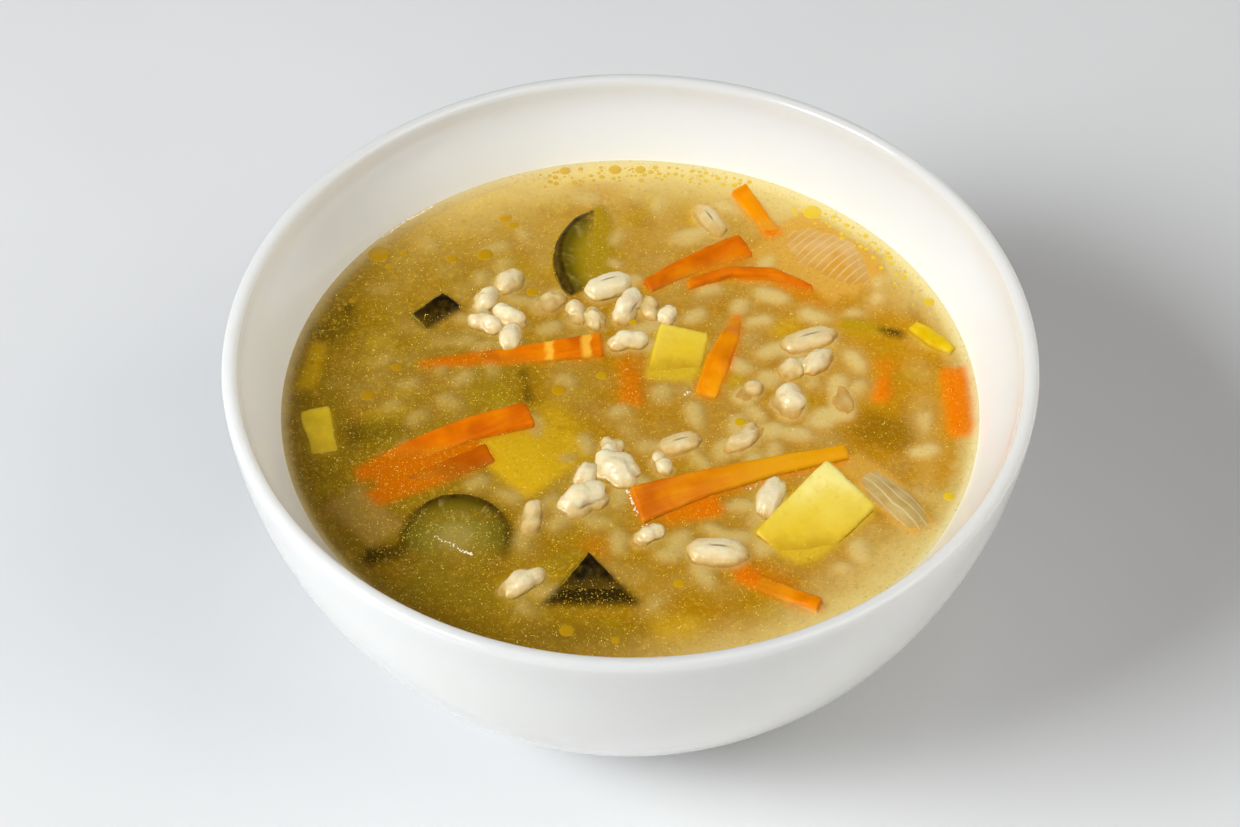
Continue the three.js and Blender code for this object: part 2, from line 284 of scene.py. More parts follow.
def broth_tint(tree, place):
    """The cloudy broth's colour at each place, with painted shade, painted light and painted reflection."""
    side = light_side(tree, place)
    # Painted shade and light: dark olive at the near left, which the wall shades, to golden at the lit right.
    golden = ramp(
        tree, side, (0, "#8e6e10"), (0.17, "#987410"), (0.34, "#a67a0a"), (0.5, "#b27e0a"),
        (0.75, "#bc820c"), (1, "#cc8e0c"),
    )
    backwards = add(tree, "SeparateXYZ", links={0: place}).outputs[1]
    # Painted reflection: paler tan towards the back, where the bright back wall is reflected.
    tan_share = maths(tree, "MULTIPLY", smooth_step(tree, backwards, *TAN_SPAN), 0.8)
    toned = blend_colours(tree, tan_share, golden, "#cca044")
    murk = maths(tree, "MULTIPLY", smooth_step(tree, noise(tree, place, 7, 3), 0.5, 0.72), 0.5)
    murky = blend_colours(tree, murk, toned, "#a6721e")
    yellow = maths(tree, "MULTIPLY", smooth_step(tree, noise(tree, place, 9, 2), 0.46, 0.3), 0.4)
    patched = blend_colours(tree, yellow, murky, "#c09c06")
    curds = maths(tree, "MULTIPLY", smooth_step(tree, noise(tree, place, 1.1, 4), 0.48, 0.7), 0.22)
    curdled = blend_colours(tree, curds, patched, "#e2b02c")
    flat = add(tree, "VectorMath", {1: (1, 1, 0)}, {0: place}, operation="MULTIPLY").outputs[0]
    radius = add(tree, "VectorMath", links={0: flat}, operation="LENGTH").outputs["Value"]
    radius = maths(tree, "MULTIPLY_ADD", noise(tree, place, 3, 2), 3 * MM, radius)
    narrow = smooth_step(tree, radius, NARROW_EDGE, EDGE_END)
    wide = smooth_step(tree, radius, WIDE_EDGE, EDGE_END)
    away = smooth_step(tree, maths(tree, "ABSOLUTE", backwards), *WIDE_SPAN)
    thin = maths(tree, "MULTIPLY_ADD", away, maths(tree, "SUBTRACT", wide, narrow), narrow)
    # Partly real, partly painted light: the pale band is the porcelain showing through thin broth, painted
    # only on the lit side.
    lit = smooth_step(tree, side, 0.15, 0.65)
    shining = maths(tree, "MULTIPLY", maths(tree, "MULTIPLY", thin, lit), 0.9)
    return blend_colours(tree, shining, curdled, "#f4de90")


def depth_below(tree, place, wetted):
    """How far a point lies under the uneven line up to which broth wets a piece, and 0 above it."""
    height = add(tree, "SeparateXYZ", links={0: place}).outputs[2]
    uneven = maths(tree, "MULTIPLY", noise(tree, place, 1.5, 2), 2 * wetted * MM)
    line = maths(tree, "ADD", uneven, SOUP_LEVEL * MM)
    return maths(tree, "MAXIMUM", maths(tree, "SUBTRACT", line, height), 0.0)


def side_share(tree):
    """0 on a face that looks at the sky and 1 on a steep or hanging one."""
    normal = add(tree, "NewGeometry").outputs["Normal"]
    upward = add(tree, "SeparateXYZ", links={0: normal}).outputs[2]
    return maths(tree, "SUBTRACT", 1.0, smooth_step(tree, upward, -0.1, 0.75))


def clear_share(tree, place, side, clearness, wetted):
    """How much of a point's own colour gets through: 1 above the level and 0 at the core."""
    depth = depth_below(tree, place, wetted)
    clear = maths(tree, "EXPONENT", maths(tree, "MULTIPLY", depth, -1 / (clearness * MM)))
    at_core = math.exp(-CORE_DEPTH / clearness)
    clear = maths(tree, "MAXIMUM", maths(tree, "SUBTRACT", clear, at_core), 0.0)
    clear = maths(tree, "DIVIDE", clear, 1 - at_core)
    sunk = smooth_step(tree, depth, 0.0, SIDE_DEPTH * MM)
    return maths(tree, "MULTIPLY", clear, maths(tree, "SUBTRACT", 1.0, maths(tree, "MULTIPLY", side, sunk)))


def flattened_normal(tree, clear, side, side_glow, normal):
    """Cloudy broth sends light from all round, so a sunk point and a side both face nearly up."""
    facing = add(tree, "NewGeometry").outputs["Normal"]
    lean = (SIDE_LEAN, SIDE_LEAN, SIDE_LEAN)
    up = add(tree, "VectorMath", {1: lean, 2: (0, 0, 1)}, {0: facing}, operation="MULTIPLY_ADD").outputs[0]
    made = tree.nodes.new("ShaderNodeMix")
    made.data_type = "VECTOR"
    own = maths(tree, "MULTIPLY_ADD", side, -side_glow, 1.0)
    tree.links.new(maths(tree, "MULTIPLY", maths(tree, "POWER", clear, 3.0), own), made.inputs[0])
    tree.links.new(up, made.inputs[4])
    tree.links.new(normal, made.inputs[5])
    return add(tree, "VectorMath", links={0: made.outputs[1]}, operation="NORMALIZE").outputs[0]


def soup_food(
    name, paint, gloss=0.3, bump_mm=0.08, bump_size=0.8, glow=0.15, glow_radius=1.5, clearness=CLEARNESS,
    shine=0.4, wetted=WETTED, side_glow=0.6,
):
    """A material for anything in the soup: its own paint above the level, the broth's veil, with its painted
    shade and light, below.
    """
    material, tree, output, place = new_material(name)
    side = side_share(tree)
    clear = clear_share(tree, place, side, clearness, wetted)
    colour = blend_colours(tree, clear, broth_tint(tree, place), paint(tree, place))
    relief = noise(tree, place, bump_size, 4)
    bump = add(tree, "Bump", {"Strength": 0.6, "Distance": bump_mm * MM}, {"Height": relief}).outputs[0]
    values = {
        "IOR": 1.38, "Subsurface Weight": glow, "Subsurface Radius": (1, 0.6, 0.3),
        "Subsurface Scale": glow_radius * MM, "Specular IOR Level": shine,
    }
    roughness = add(tree, "MapRange", {"To Min": 0.9, "To Max": gloss}, {"Value": clear}).outputs[0]
    normal = flattened_normal(tree, clear, side, side_glow, bump)
    shader = add(tree, "BsdfPrincipled", values, {
        "Base Color": colour, "Roughness": roughness, "Normal": normal,
    })
    tree.links.new(shader.outputs[0], output.inputs[0])
    material.cycles.use_bump_map_correction = False
    return material


print("one millimetre down,", round(100 * math.exp(-1 / CLEARNESS)), "percent of a colour gets through")

# %% [markdown]
# ## The bowl
# A hard porcelain bowl: its outside is part of an ellipse, its lip is a thin rounded edge over a
# soft crease, and its inside runs down in one curve to the floor. It is drawn as a profile, a chain
# of points extruded one from the next, and spun about its axis, as a potter's template shapes it.

# %% Profile of the bowl
WALL_RADIUS = 70.2
WALL_DEPTH = 80.6
WALL_CENTRE_Z = RIM_HEIGHT + 6.8
WALL_STEPS = 30
LIP_STEPS = 26
LIP_CENTRE_RADIUS = 68.4
LIP_HALF_WIDTH = 1.35
LIP_HEIGHT = 1.5
LIP_Z = RIM_HEIGHT - LIP_HEIGHT
LIP_SQUARENESS = 2.3
FOOT_RADIUS = 31
FOOT_WIDTH = 4
FOOT_HEIGHT = 3
FOOT_ROUNDING = 0.7
FLOOR_Z = 8
INSIDE_UNDER_LIP = (66.4, 63.2)
INSIDE_BELOW_SOUP = [(55.8, 38), (46, 22), (27, 10.4)]
INSIDE_STEPS = 44
BOWL_TURNS = 160


def curve_through(points, steps):
    """A smooth curve through points, by centripetal Catmull-Rom pieces."""
    points = [np.array(p, float) for p in points]
    points = [2 * points[0] - points[1], *points, 2 * points[-1] - points[-2]]
    pieces = len(points) - 3
    made = []
    for step in range(steps + 1):
        at = step / steps * pieces
        i = min(int(at), pieces - 1)
        p = points[i:i + 4]
        gaps = [max(np.linalg.norm(b - a) ** 0.5, 1e-6) for a, b in zip(p, p[1:])]
        m1 = gaps[1] * ((p[1] - p[0]) / gaps[0] - (p[2] - p[0]) / (gaps[0] + gaps[1])) + p[2] - p[1]
        m2 = gaps[1] * ((p[3] - p[2]) / gaps[2] - (p[3] - p[1]) / (gaps[1] + gaps[2])) + p[2] - p[1]
        t = at - i
        made.append(
            p[1] + m1 * t + (3 * (p[2] - p[1]) - 2 * m1 - m2) * t ** 2
            + (2 * (p[1] - p[2]) + m1 + m2) * t ** 3
        )
    return made


inside = curve_through(
    [
        (LIP_CENTRE_RADIUS - LIP_HALF_WIDTH, LIP_Z), INSIDE_UNDER_LIP, (SOUP_RADIUS, SOUP_LEVEL),
        *INSIDE_BELOW_SOUP, (0, FLOOR_Z),
    ],
    INSIDE_STEPS,
)


def wall_radius(z):
    """Radius of the bowl's outside at a height."""
    return WALL_RADIUS * math.sqrt(1 - ((z - WALL_CENTRE_Z) / WALL_DEPTH) ** 2)


def bowl_profile():
    """Points (radius, height) from under the foot, up the outside, over the lip and down inside."""
    ring_inside = FOOT_RADIUS - FOOT_WIDTH
    points = [
        (0, FOOT_HEIGHT), (ring_inside - FOOT_ROUNDING, FOOT_HEIGHT), (ring_inside, FOOT_ROUNDING),
        (ring_inside + FOOT_ROUNDING, 0), (FOOT_RADIUS - FOOT_ROUNDING, 0), (FOOT_RADIUS, FOOT_ROUNDING),
    ]
    for i in range(WALL_STEPS):
        z = FOOT_HEIGHT + (LIP_Z - FOOT_HEIGHT) * (i / WALL_STEPS) ** 1.3
        points.append((wall_radius(z), z))
    for i in range(LIP_STEPS + 1):
        across, up = math.cos(math.pi * i / LIP_STEPS), abs(math.sin(math.pi * i / LIP_STEPS))
        reach = (abs(across) ** LIP_SQUARENESS + up ** LIP_SQUARENESS) ** (-1 / LIP_SQUARENESS)
        points.append((LIP_CENTRE_RADIUS + LIP_HALF_WIDTH * reach * across, LIP_Z + LIP_HEIGHT * reach * up))
    points += [(max(r, 0), z) for r, z in inside[1:]]
    return points


# %% Spin a profile
def turned(name, profile, turns):
    """Extrudes a chain of points along a profile and spins it round the bowl's axis."""
    bpy.ops.object.select_all(action="DESELECT")
    bpy.ops.mesh.primitive_plane_add(size=MM)
    piece = bpy.context.object
    piece.name = name
    edit(piece, "VERT")
    bpy.ops.mesh.merge(type="CENTER")
    before = (0, 0)
    for i, (radius, height) in enumerate(profile):
        move = {"value": ((radius - before[0]) * MM, 0, (height - before[1]) * MM)}
        if i == 0:
            bpy.ops.transform.translate(**move)
        else:
            bpy.ops.mesh.extrude_region_move(TRANSFORM_OT_translate=move)
        before = (radius, height)
    bpy.ops.mesh.select_all(action="SELECT")
    bpy.ops.mesh.spin(steps=turns, angle=math.tau, center=(0, 0, 0), axis=(0, 0, 1))
    bpy.ops.mesh.select_all(action="SELECT")
    bpy.ops.mesh.remove_doubles(threshold=0.001 * MM)
    bpy.ops.mesh.normals_make_consistent(inside=False)
    bpy.ops.object.mode_set(mode="OBJECT")
    return piece


bowl = turned("bowl_glazed", bowl_profile(), BOWL_TURNS)

# %% [markdown]
# ### Glaze
# White porcelain under a clear glaze: the body gives a warm white, the glaze a sharp highlight. The
# glaze pools by a hair in places, which shows as a very slight change of gloss, and the surface keeps
# the faint waviness of the mould.

# %% Glazed porcelain
def glazed_porcelain():
    """Warm white body, smooth clear glaze with a slight waviness."""
    material, tree, output, place = new_material("glazed_porcelain")
    body = ramp(tree, noise(tree, place, 30, 2), (0.3, "#f2f2ef"), (0.7, "#f8f8f5"))
    pooled = noise(tree, place, 12, 2)
    roughness = add(tree, "MapRange", {"To Min": 0.1, "To Max": 0.2}, {"Value": pooled}).outputs[0]
    wave = noise(tree, place, 16, 1)
    bump = add(tree, "Bump", {"Strength": 0.15, "Distance": 0.12 * MM}, {"Height": wave}).outputs[0]
    values = {
        "IOR": 1.5, "Subsurface Weight": 1, "Subsurface Radius": (1, 0.94, 0.84),
        "Subsurface Scale": 8 * MM,
    }
    shader = add(tree, "BsdfPrincipled", values, {
        "Base Color": body, "Roughness": roughness, "Normal": bump,
    })
    tree.links.new(shader.outputs[0], output.inputs[0])
    return material


settle(bowl, glazed_porcelain(), "porcelain", "bowl", angle=35)

# %% [markdown]
# ## Cut vegetables
# Each of these starts as a copy of its solid, merged and remeshed into even small faces. A little
# smoothing takes the edge off the cuts as cooking does, and a displacement gives the uneven surface
# that a knife and hot water leave. Each point then stores its place along, across and up its own
# piece, so that fibres, skins and bands can follow it.

# %% Copy and refine a solid
def cloud_texture(size_mm):
    """A soft cloud texture for displacement."""
    name = f"clouds_{size_mm}"
    made = bpy.data.textures.get(name) or bpy.data.textures.new(name, "CLOUDS")
    made.noise_scale = size_mm * MM
    made.noise_depth = 2
    return made


def copy_of(node, name):
    """A new object with a merged copy of a node's mesh."""
    piece = bpy.data.objects.new(name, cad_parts[node].data.copy())
    scene.collection.objects.link(piece)
    edit(piece, "VERT")
    bpy.ops.mesh.customdata_custom_splitnormals_clear()
    bpy.ops.mesh.remove_doubles(threshold=0.001 * MM)
    bpy.ops.object.mode_set(mode="OBJECT")
    return piece


def cook(piece, voxel=0.32, soften=2, lump=0.25, lump_size=3, grit=0.08, grit_size=0.7):
    """Even small faces, softened edges, and the lumps and grit of a cooked cut."""
    modify(piece, "REMESH", mode="VOXEL", voxel_size=voxel * MM)
    modify(piece, "SMOOTH", factor=0.5, iterations=soften)
    for strength, size in ((lump, lump_size), (grit, grit_size)):
        modify(
            piece, "DISPLACE", texture=cloud_texture(size), texture_coords="LOCAL",
            strength=strength * MM, mid_level=0.5,
        )


def points_of(piece, kind=float):
    """The places of a piece's points as an array of rows x, y, z."""
    points = np.zeros(len(piece.data.vertices) * 3, kind)
    piece.data.vertices.foreach_get("co", points)
    return points.reshape(-1, 3)


def store_own(piece, own):
    """Stores every point's own place as the attribute own."""
    attribute = piece.data.attributes.new("own", "FLOAT_VECTOR", "POINT")
    attribute.data.foreach_set("vector", own.astype(np.float32).ravel())


def mark_axes(piece, centre=None, along=None, up=None):
    """Stores every point's place along, across and up its piece, in metres."""
    points = points_of(piece)
    middle = points.mean(0) if centre is None else np.array(centre)
    if along is None:
        axes = np.linalg.svd(points - middle, full_matrices=False)[2]
    else:
        x = Vector(along).normalized()
        z = (Vector(up) - x * Vector(up).dot(x)).normalized()
        axes = np.array([x, z.cross(x), z])
    store_own(piece, (points - middle) @ axes.T)


def serve(node, material, slot, axes=(), **cooking):
    """A cooked copy of a node's solid, in that node's place."""
    piece = copy_of(node, node + "_cooked")
    cook(piece, **cooking)
    mark_axes(piece, *axes)
    settle(piece, material, slot, node)
    lie_in_haze(piece)


def own_place(tree):
    """The attribute own as a socket."""
    return add(tree, "Attribute", attribute_name="own").outputs["Vector"]


# %% [markdown]
# ### Carrot
# Boiled carrot is orange with paler fibres that run along the stick, and its core is yellower than
# its outside. Fibres are noise drawn out along the piece.

# %% Carrot material
FIBRE_STRETCH = (0.12, 1.3, 1.3)


def carrot_paint(deep, middle, pale):
    """Fibres in three tones along the stick."""
    def paint(tree, place):
        fibres = noise(tree, own_place(tree), 0.9, 3, FIBRE_STRETCH)
        patches = noise(tree, place, 6, 2)
        share = maths(tree, "MULTIPLY_ADD", patches, 0.8, maths(tree, "MULTIPLY", fibres, 0.2))
        return ramp(tree, share, (0.35, deep), (0.52, middle), (0.72, pale))
    return paint


BAND_PLACES = (-14.3, -7.7)
BAND_WIDTH = 1.5


def banded_carrot_paint(tree, place):
    """A stick cut across two pale rings of the root."""
    base = carrot_paint("#cc5e00", "#e67a00", "#f29208")(tree, place)
    across = add(tree, "SeparateXYZ", links={0: place}).outputs[0]
    across = maths(tree, "MULTIPLY_ADD", noise(tree, place, 2, 2), 1.6 * MM, across)
    across = maths(tree, "SUBTRACT", across, 0.8 * MM)
    bands = None
    for middle in BAND_PLACES:
        distance = maths(tree, "ABSOLUTE", maths(tree, "SUBTRACT", across, middle * MM))
        band = smooth_step(tree, distance, BAND_WIDTH * 0.75 * MM, BAND_WIDTH * 0.2 * MM)
        bands = band if bands is None else maths(tree, "MAXIMUM", bands, band)
    return blend_colours(tree, maths(tree, "MULTIPLY", bands, 0.8), base, "#fcc040")


CORE_SPAN = (8 * MM, 26 * MM)


def long_carrot_paint(tree, place):
    """A stick that runs from the orange outside of the root into its yellow core."""
    base = carrot_paint("#cc6200", "#e07c04", "#ee980c")(tree, place)
    across = add(tree, "SeparateXYZ", links={0: place}).outputs[0]
    return blend_colours(tree, smooth_step(tree, across, *CORE_SPAN), base, "#e8a008")


def carrot_material(name, paint):
    """Moist boiled carrot, which shows a little way down into the broth."""
    return soup_food(name, paint, clearness=2, shine=0.15)


long_carrot = carrot_material("boiled_carrot_long", long_carrot_paint)
boiled_carrot = carrot_material("boiled_carrot", carrot_paint("#cc5e00", "#e27400", "#f08e04"))
# Painted shade: a darker copy of boiled carrot for the carrot that lies in shade at the left.
shaded_carrot = carrot_material("boiled_carrot_deep", carrot_paint("#b45200", "#c66000", "#d67404"))
pale_carrot = carrot_material("boiled_carrot_core", carrot_paint("#e07a00", "#f29000", "#faa408"))
banded_carrot = carrot_material("boiled_carrot_banded", banded_carrot_paint)

# %% Carrots
CARROTS = {
    "carrot_striped": banded_carrot, "carrot_long": long_carrot, "carrot_left_upper": boiled_carrot,
    "carrot_left_lower": shaded_carrot, "carrot_leaning": pale_carrot, "carrot_bent": boiled_carrot,
    "carrot_arc": boiled_carrot, "carrot_back": pale_carrot, "carrot_front": pale_carrot,
}
for node, material in CARROTS.items():
    serve(node, material, "carrot")

# %% [markdown]
# ### Potato
# Waxy yellow potato, soft at its corners. Its starch makes it slightly translucent, so that light
# spreads in it and its shaded faces stay warm.

# %% Potatoes
def potato_paint(tree, place):
    """Waxy yellow, paler the higher it stands above the broth."""
    height = add(tree, "SeparateXYZ", links={0: place}).outputs[2]
    height = maths(tree, "MULTIPLY_ADD", noise(tree, place, 4, 3), 3 * MM, height)
    dry = span(tree, height, (SOUP_LEVEL + 0.5) * MM, (SOUP_LEVEL + 6) * MM)
    tone = ramp(tree, dry, (0, "#d8ae0c"), (0.35, "#e6c42c"), (0.7, "#edd250"), (1, "#f6e68a"))
    wet = maths(tree, "MULTIPLY", smooth_step(tree, noise(tree, place, 1.4, 3), 0.5, 0.75), 0.35)
    return blend_colours(tree, wet, tone, "#e2b61c")


def yellow_strip_paint(tree, place):
    """The strongly yellow strip at the right wall."""
    return ramp(tree, noise(tree, place, 3, 2), (0.3, "#e6b800"), (0.7, "#f6d21c"))


waxy_potato = soup_food(
    "waxy_potato", potato_paint, gloss=0.38, glow=0.35, glow_radius=2.5, clearness=3.4, wetted=0.6,
)
yellow_potato = soup_food("yellow_potato", yellow_strip_paint, gloss=0.3, shine=0.15)
POTATOES = {
    "potato_front": waxy_potato, "potato_middle": waxy_potato,
    "potato_left": waxy_potato, "potato_strip": yellow_potato,
}
for node, material in POTATOES.items():
    serve(node, material, "potato", voxel=0.4, soften=4, lump=0.5, lump_size=5)

# %% [markdown]
# ### Pickled cucumber
# A slice has a thin, almost black-green skin, a band of denser flesh inside it and a watery olive
# middle with pale rays. The two loose pieces lie with their skin up, bumpy and mottled.

# %% Pickles
SLICE_PLACE = (-29.3, -30.6, SOUP_LEVEL - 3.2)
SLICE_UP = (0, -0.2, 1)
SLICE_RADIUS = 9.6
QUARTER_PLACE = (1.8, 35, SOUP_LEVEL - 5.6)
QUARTER_ALONG = (1, 0, -0.36)
QUARTER_UP = (0.36, 0, 1)
QUARTER_RADIUS = 16.6
SKIN_WIDTH = 0.9


def slice_paint(radius_mm, middle, flesh_tone, dense, by_skin):
    """Rings of skin and flesh by the distance from the slice's middle, with pale rays."""
    def paint(tree, place):
        parts = add(tree, "SeparateXYZ", links={0: own_place(tree)})
        flat = add(tree, "CombineXYZ", links={0: parts.outputs[0], 1: parts.outputs[1]}).outputs[0]
        radius = add(tree, "VectorMath", links={0: flat}, operation="LENGTH").outputs["Value"]
        angle = maths(tree, "ARCTAN2", parts.outputs[1], parts.outputs[0])
        around = maths(tree, "MULTIPLY", angle, 6 * MM)
        polar = add(tree, "CombineXYZ", links={0: around, 1: radius}).outputs[0]
        rays = noise(tree, polar, 0.8, 3, (1, 0.25, 1))
        share = maths(tree, "DIVIDE", radius, radius_mm * MM)
        flesh = ramp(
            tree, share, (0, middle), (0.45, flesh_tone), (0.72, dense), (0.88, by_skin),
        )
        flesh = blend_colours(tree, smooth_step(tree, rays, 0.5, 0.85), flesh, "#b8a050")
        rim = smooth_step(tree, share, 1 - SKIN_WIDTH * 1.6 / radius_mm, 1 - SKIN_WIDTH * 0.7 / radius_mm)
        skin = ramp(tree, noise(tree, place, 1.4, 3), (0.35, "#342602"), (0.7, "#60480a"))
        return blend_colours(tree, rim, flesh, skin)
    return paint


def skin_paint(tree, place):
    """Dark skin, mottled brown and olive, over a side of olive flesh."""
    mottle = noise(tree, place, 1.6, 4)
    skin = ramp(tree, mottle, (0.35, "#140a00"), (0.5, "#261a02"), (0.66, "#423006"), (0.8, "#6a540e"))
    leftwards = add(tree, "SeparateXYZ", links={0: add(tree, "NewGeometry").outputs["Normal"]}).outputs[0]
    return blend_colours(tree, smooth_step(tree, leftwards, -0.25, -0.6), skin, "#8c7c1c")


slice_flesh = soup_food(
    "pickle_slice_flesh", slice_paint(SLICE_RADIUS, "#8a762a", "#84701c", "#766210", "#504006"),
    0.2, glow=0.25, clearness=3, shine=0.2,
)
quarter_flesh = soup_food(
    "pickle_quarter_flesh", slice_paint(QUARTER_RADIUS, "#b89634", "#c09a18", "#ac8e0e", "#6c5c08"),
    0.2, glow=0.25, clearness=2.4, shine=0.2,
)
pickle_skin = soup_food("pickle_skin", skin_paint, 0.3, bump_mm=0.2, bump_size=1.2, clearness=5, shine=0.2)
PICKLES = {
    "pickle_slice": (slice_flesh, SLICE_PLACE, (1, 0, 0), SLICE_UP),
    "pickle_quarter": (quarter_flesh, QUARTER_PLACE, QUARTER_ALONG, QUARTER_UP),
}
for node, (material, centre, along, up) in PICKLES.items():
    serve(node, material, "pickle", (Vector(centre) * MM, along, up), lump=0.3)
for node in ("pickle_skin_diamond", "pickle_skin_wedge"):
    serve(node, pickle_skin, "pickle", lump=0.4, lump_size=2.4, grit=0.15, grit_size=1)

# %% [markdown]
# ### Onion
# A cooked petal of onion is nearly see-through and shows the parallel veins of its layer as paler
# lines.

# %% Onions
VEIN_SPACING = 1.5


def onion_paint(axis, flesh, vein, wander_mm=1.6):
    """Thin pale veins that follow each other along one axis of a petal."""
    def paint(tree, place):
        parts = add(tree, "SeparateXYZ", links={0: own_place(tree)})
        wander = noise(tree, place, 7, 2)
        along = maths(tree, "MULTIPLY_ADD", wander, wander_mm * MM, parts.outputs[axis])
        wave = maths(tree, "SINE", maths(tree, "MULTIPLY", along, math.tau / (VEIN_SPACING * MM)))
        share = maths(tree, "MULTIPLY", smooth_step(tree, wave, 0.6, 1), 0.7)
        tone = ramp(tree, noise(tree, place, 6, 2), (0.35, flesh), (0.9, vein))
        return blend_colours(tree, share, tone, vein)
    return paint


ONIONS = {
    "onion_back": soup_food(
        "onion_veined_across", onion_paint(0, "#dea43c", "#f0cc90", 0.4), 0.2, glow=0.4, wetted=0,
    ),
    "onion_front": soup_food(
        "onion_veined_along", onion_paint(1, "#c09e56", "#e8d29c"), 0.2, glow=0.4, wetted=0,
    ),
}
for node, material in ONIONS.items():
    serve(node, material, "onion", lump=0.4, lump_size=4)

# %% [markdown]
# ## Sunk vegetables
# More cuts of the same vegetables lie just under the surface and show as blurred patches. Each is a
# cube, stretched and bevelled, then remeshed and displaced like the others. Since the camera looks
# down at a slant, a piece under the level is placed a little further back than it seems to lie.

# %% Sunk vegetables
SUNK_VOXEL = 0.5
SUNK_BEVEL = 0.32
SHALLOW = 1.5
SUNK_CUTS = {
    "carrots_sunk": (boiled_carrot, "carrot", [
        (0, 6.1, 0.5, 14, 5.2, 3.6, 92, 3), (10.4, -24.4, 0.1, 11, 5.4, 3, 18, -4),
        (-3, -31.8, 1.5, 12, 5, 3, 12, 5), (44.4, 5.6, 0.4, 11, 3.6, 3, 84, 4),
        (57, 0.6, 0.1, 17, 5.4, 3, 91, 0), (31, 26.9, 0.8, 12, 3.2, 2.6, -30, 4),
        (17, 35.5, 0.7, 13, 5, 3, 20, 4), (22, -39, 0.6, 12, 5, 3, -30, 3),
        (-34.6, -13.6, 0, 20, 4.4, 3, 27, 0),
    ]),
    "potatoes_sunk": (waxy_potato, "potato", [
        (-15.4, -10.6, 0.3, 19, 16, 5, 38, 3), (7.5, -49.4, 1.1, 9, 5, 3, -5, 0),
        (39.4, 40.4, 0.1, 18, 2, 2, -46, 0),
        (27.5, 18.1, 1, 6, 5, 3, 10, 0), (12, 47.2, 0.4, 6, 2, 2, 85, 0), (17.5, 7.7, 1, 9, 6, 3, 70, 0),
        (-56, 9, 0.2, 12, 4, 2, 80, 0),
    ]),
    "pickle_skins_sunk": (pickle_skin, "pickle", [
        (-52, 19.1, 1, 9, 5, 2, 60, 0), (-50.6, 22.7, 0.1, 3.4, 1.2, 1, 75, 0),
        (-43.4, -6.4, 1, 13, 6, 2, 12, 3), (-18.6, 4.7, 0.4, 10, 2, 2, 100, 3),
        (46, 17.3, 0.05, 6, 1.8, 1.4, -18, 0), (44.4, -6.8, 1.1, 11, 8, 2, -20, 0),
        (-40.4, -33.9, 0.4, 9, 4.4, 2, 15, 3), (-7, -50.9, 1.6, 20, 5, 2, 3, 0),
    ]),
    "pickle_flesh_sunk": (quarter_flesh, "pickle", [
        (-24, 4.5, 0.8, 12, 8, 3, 92, 0), (-30, -41.9, 1, 18, 6, 2, -14, 0),
        (-12.4, -36.3, 0.4, 11, 2.4, 2, 37, 0), (41, 18.4, 0.1, 8, 4.2, 2, -8, 0),
    ]),
    "onions_sunk": (ONIONS["onion_front"], "onion", [
        (-45, -25.6, 0.4, 13, 8, 1.6, -48, 0), (-6.5, 53.5, 0.6, 10, 4.4, 1.6, -8, 0),
        (41.8, -17, 0.3, 13, 6, 1.6, -46, 0), (34, 36.4, 0.1, 20, 15, 1.6, -40, 0),
    ]),
}


def sunk_cut(x, y, depth, length, width, height, heading, tilt):
    """A rounded cut whose top lies at a depth under the level, turned and tilted."""
    bpy.ops.object.select_all(action="DESELECT")
    bpy.ops.mesh.primitive_cube_add(size=MM)
    piece = bpy.context.object
    edit(piece)
    bpy.ops.transform.resize(value=(length, width, height))
    bpy.ops.mesh.bevel(offset=SUNK_BEVEL * min(width, height) * MM, segments=3)
    bpy.ops.object.mode_set(mode="OBJECT")
    piece.location = Vector((x, y, SOUP_LEVEL - SUNK_MARGIN - depth - height / 2)) * MM
    piece.rotation_euler = (0, math.radians(tilt), math.radians(heading))
    bpy.ops.object.transform_apply(location=True, rotation=True, scale=True)
    cook(piece, voxel=SUNK_VOXEL, soften=3, lump=0.5, lump_size=3.5)
    mark_axes(piece)
    return piece


cut_places = []
for name, (material, slot, rows) in SUNK_CUTS.items():
    cuts = [sunk_cut(*row) for row in rows]
    for x, y, depth, length, width, height, heading, tilt in rows:
        along = Matrix.Rotation(math.radians(heading), 2) @ Vector((length / 2, 0))
        if depth < SHALLOW:
            cut_places += [Vector((x, y)) + along * share for share in (-0.8, -0.4, 0, 0.4, 0.8)]
    only(*cuts)
    bpy.ops.object.join()
    sunk = bpy.context.object
    sunk.name = name
    settle(sunk, material, slot)
    lie_in_haze(sunk)

# %% [markdown]
# ## Pearl barley
# A pearled grain is a plump oval with a crease along one side, where a brown line of husk stays. Some
# burst as they cook and turn knobbly. A few models are made from a sphere: laid along X, pinched at
# one end, creased, and displaced. Each is then copied to its places with its own mesh, and the copies
# are joined into one piece.

# %% Model a grain
GRAIN_FLATNESS = 0.9
PLUMPNESS = 0.3


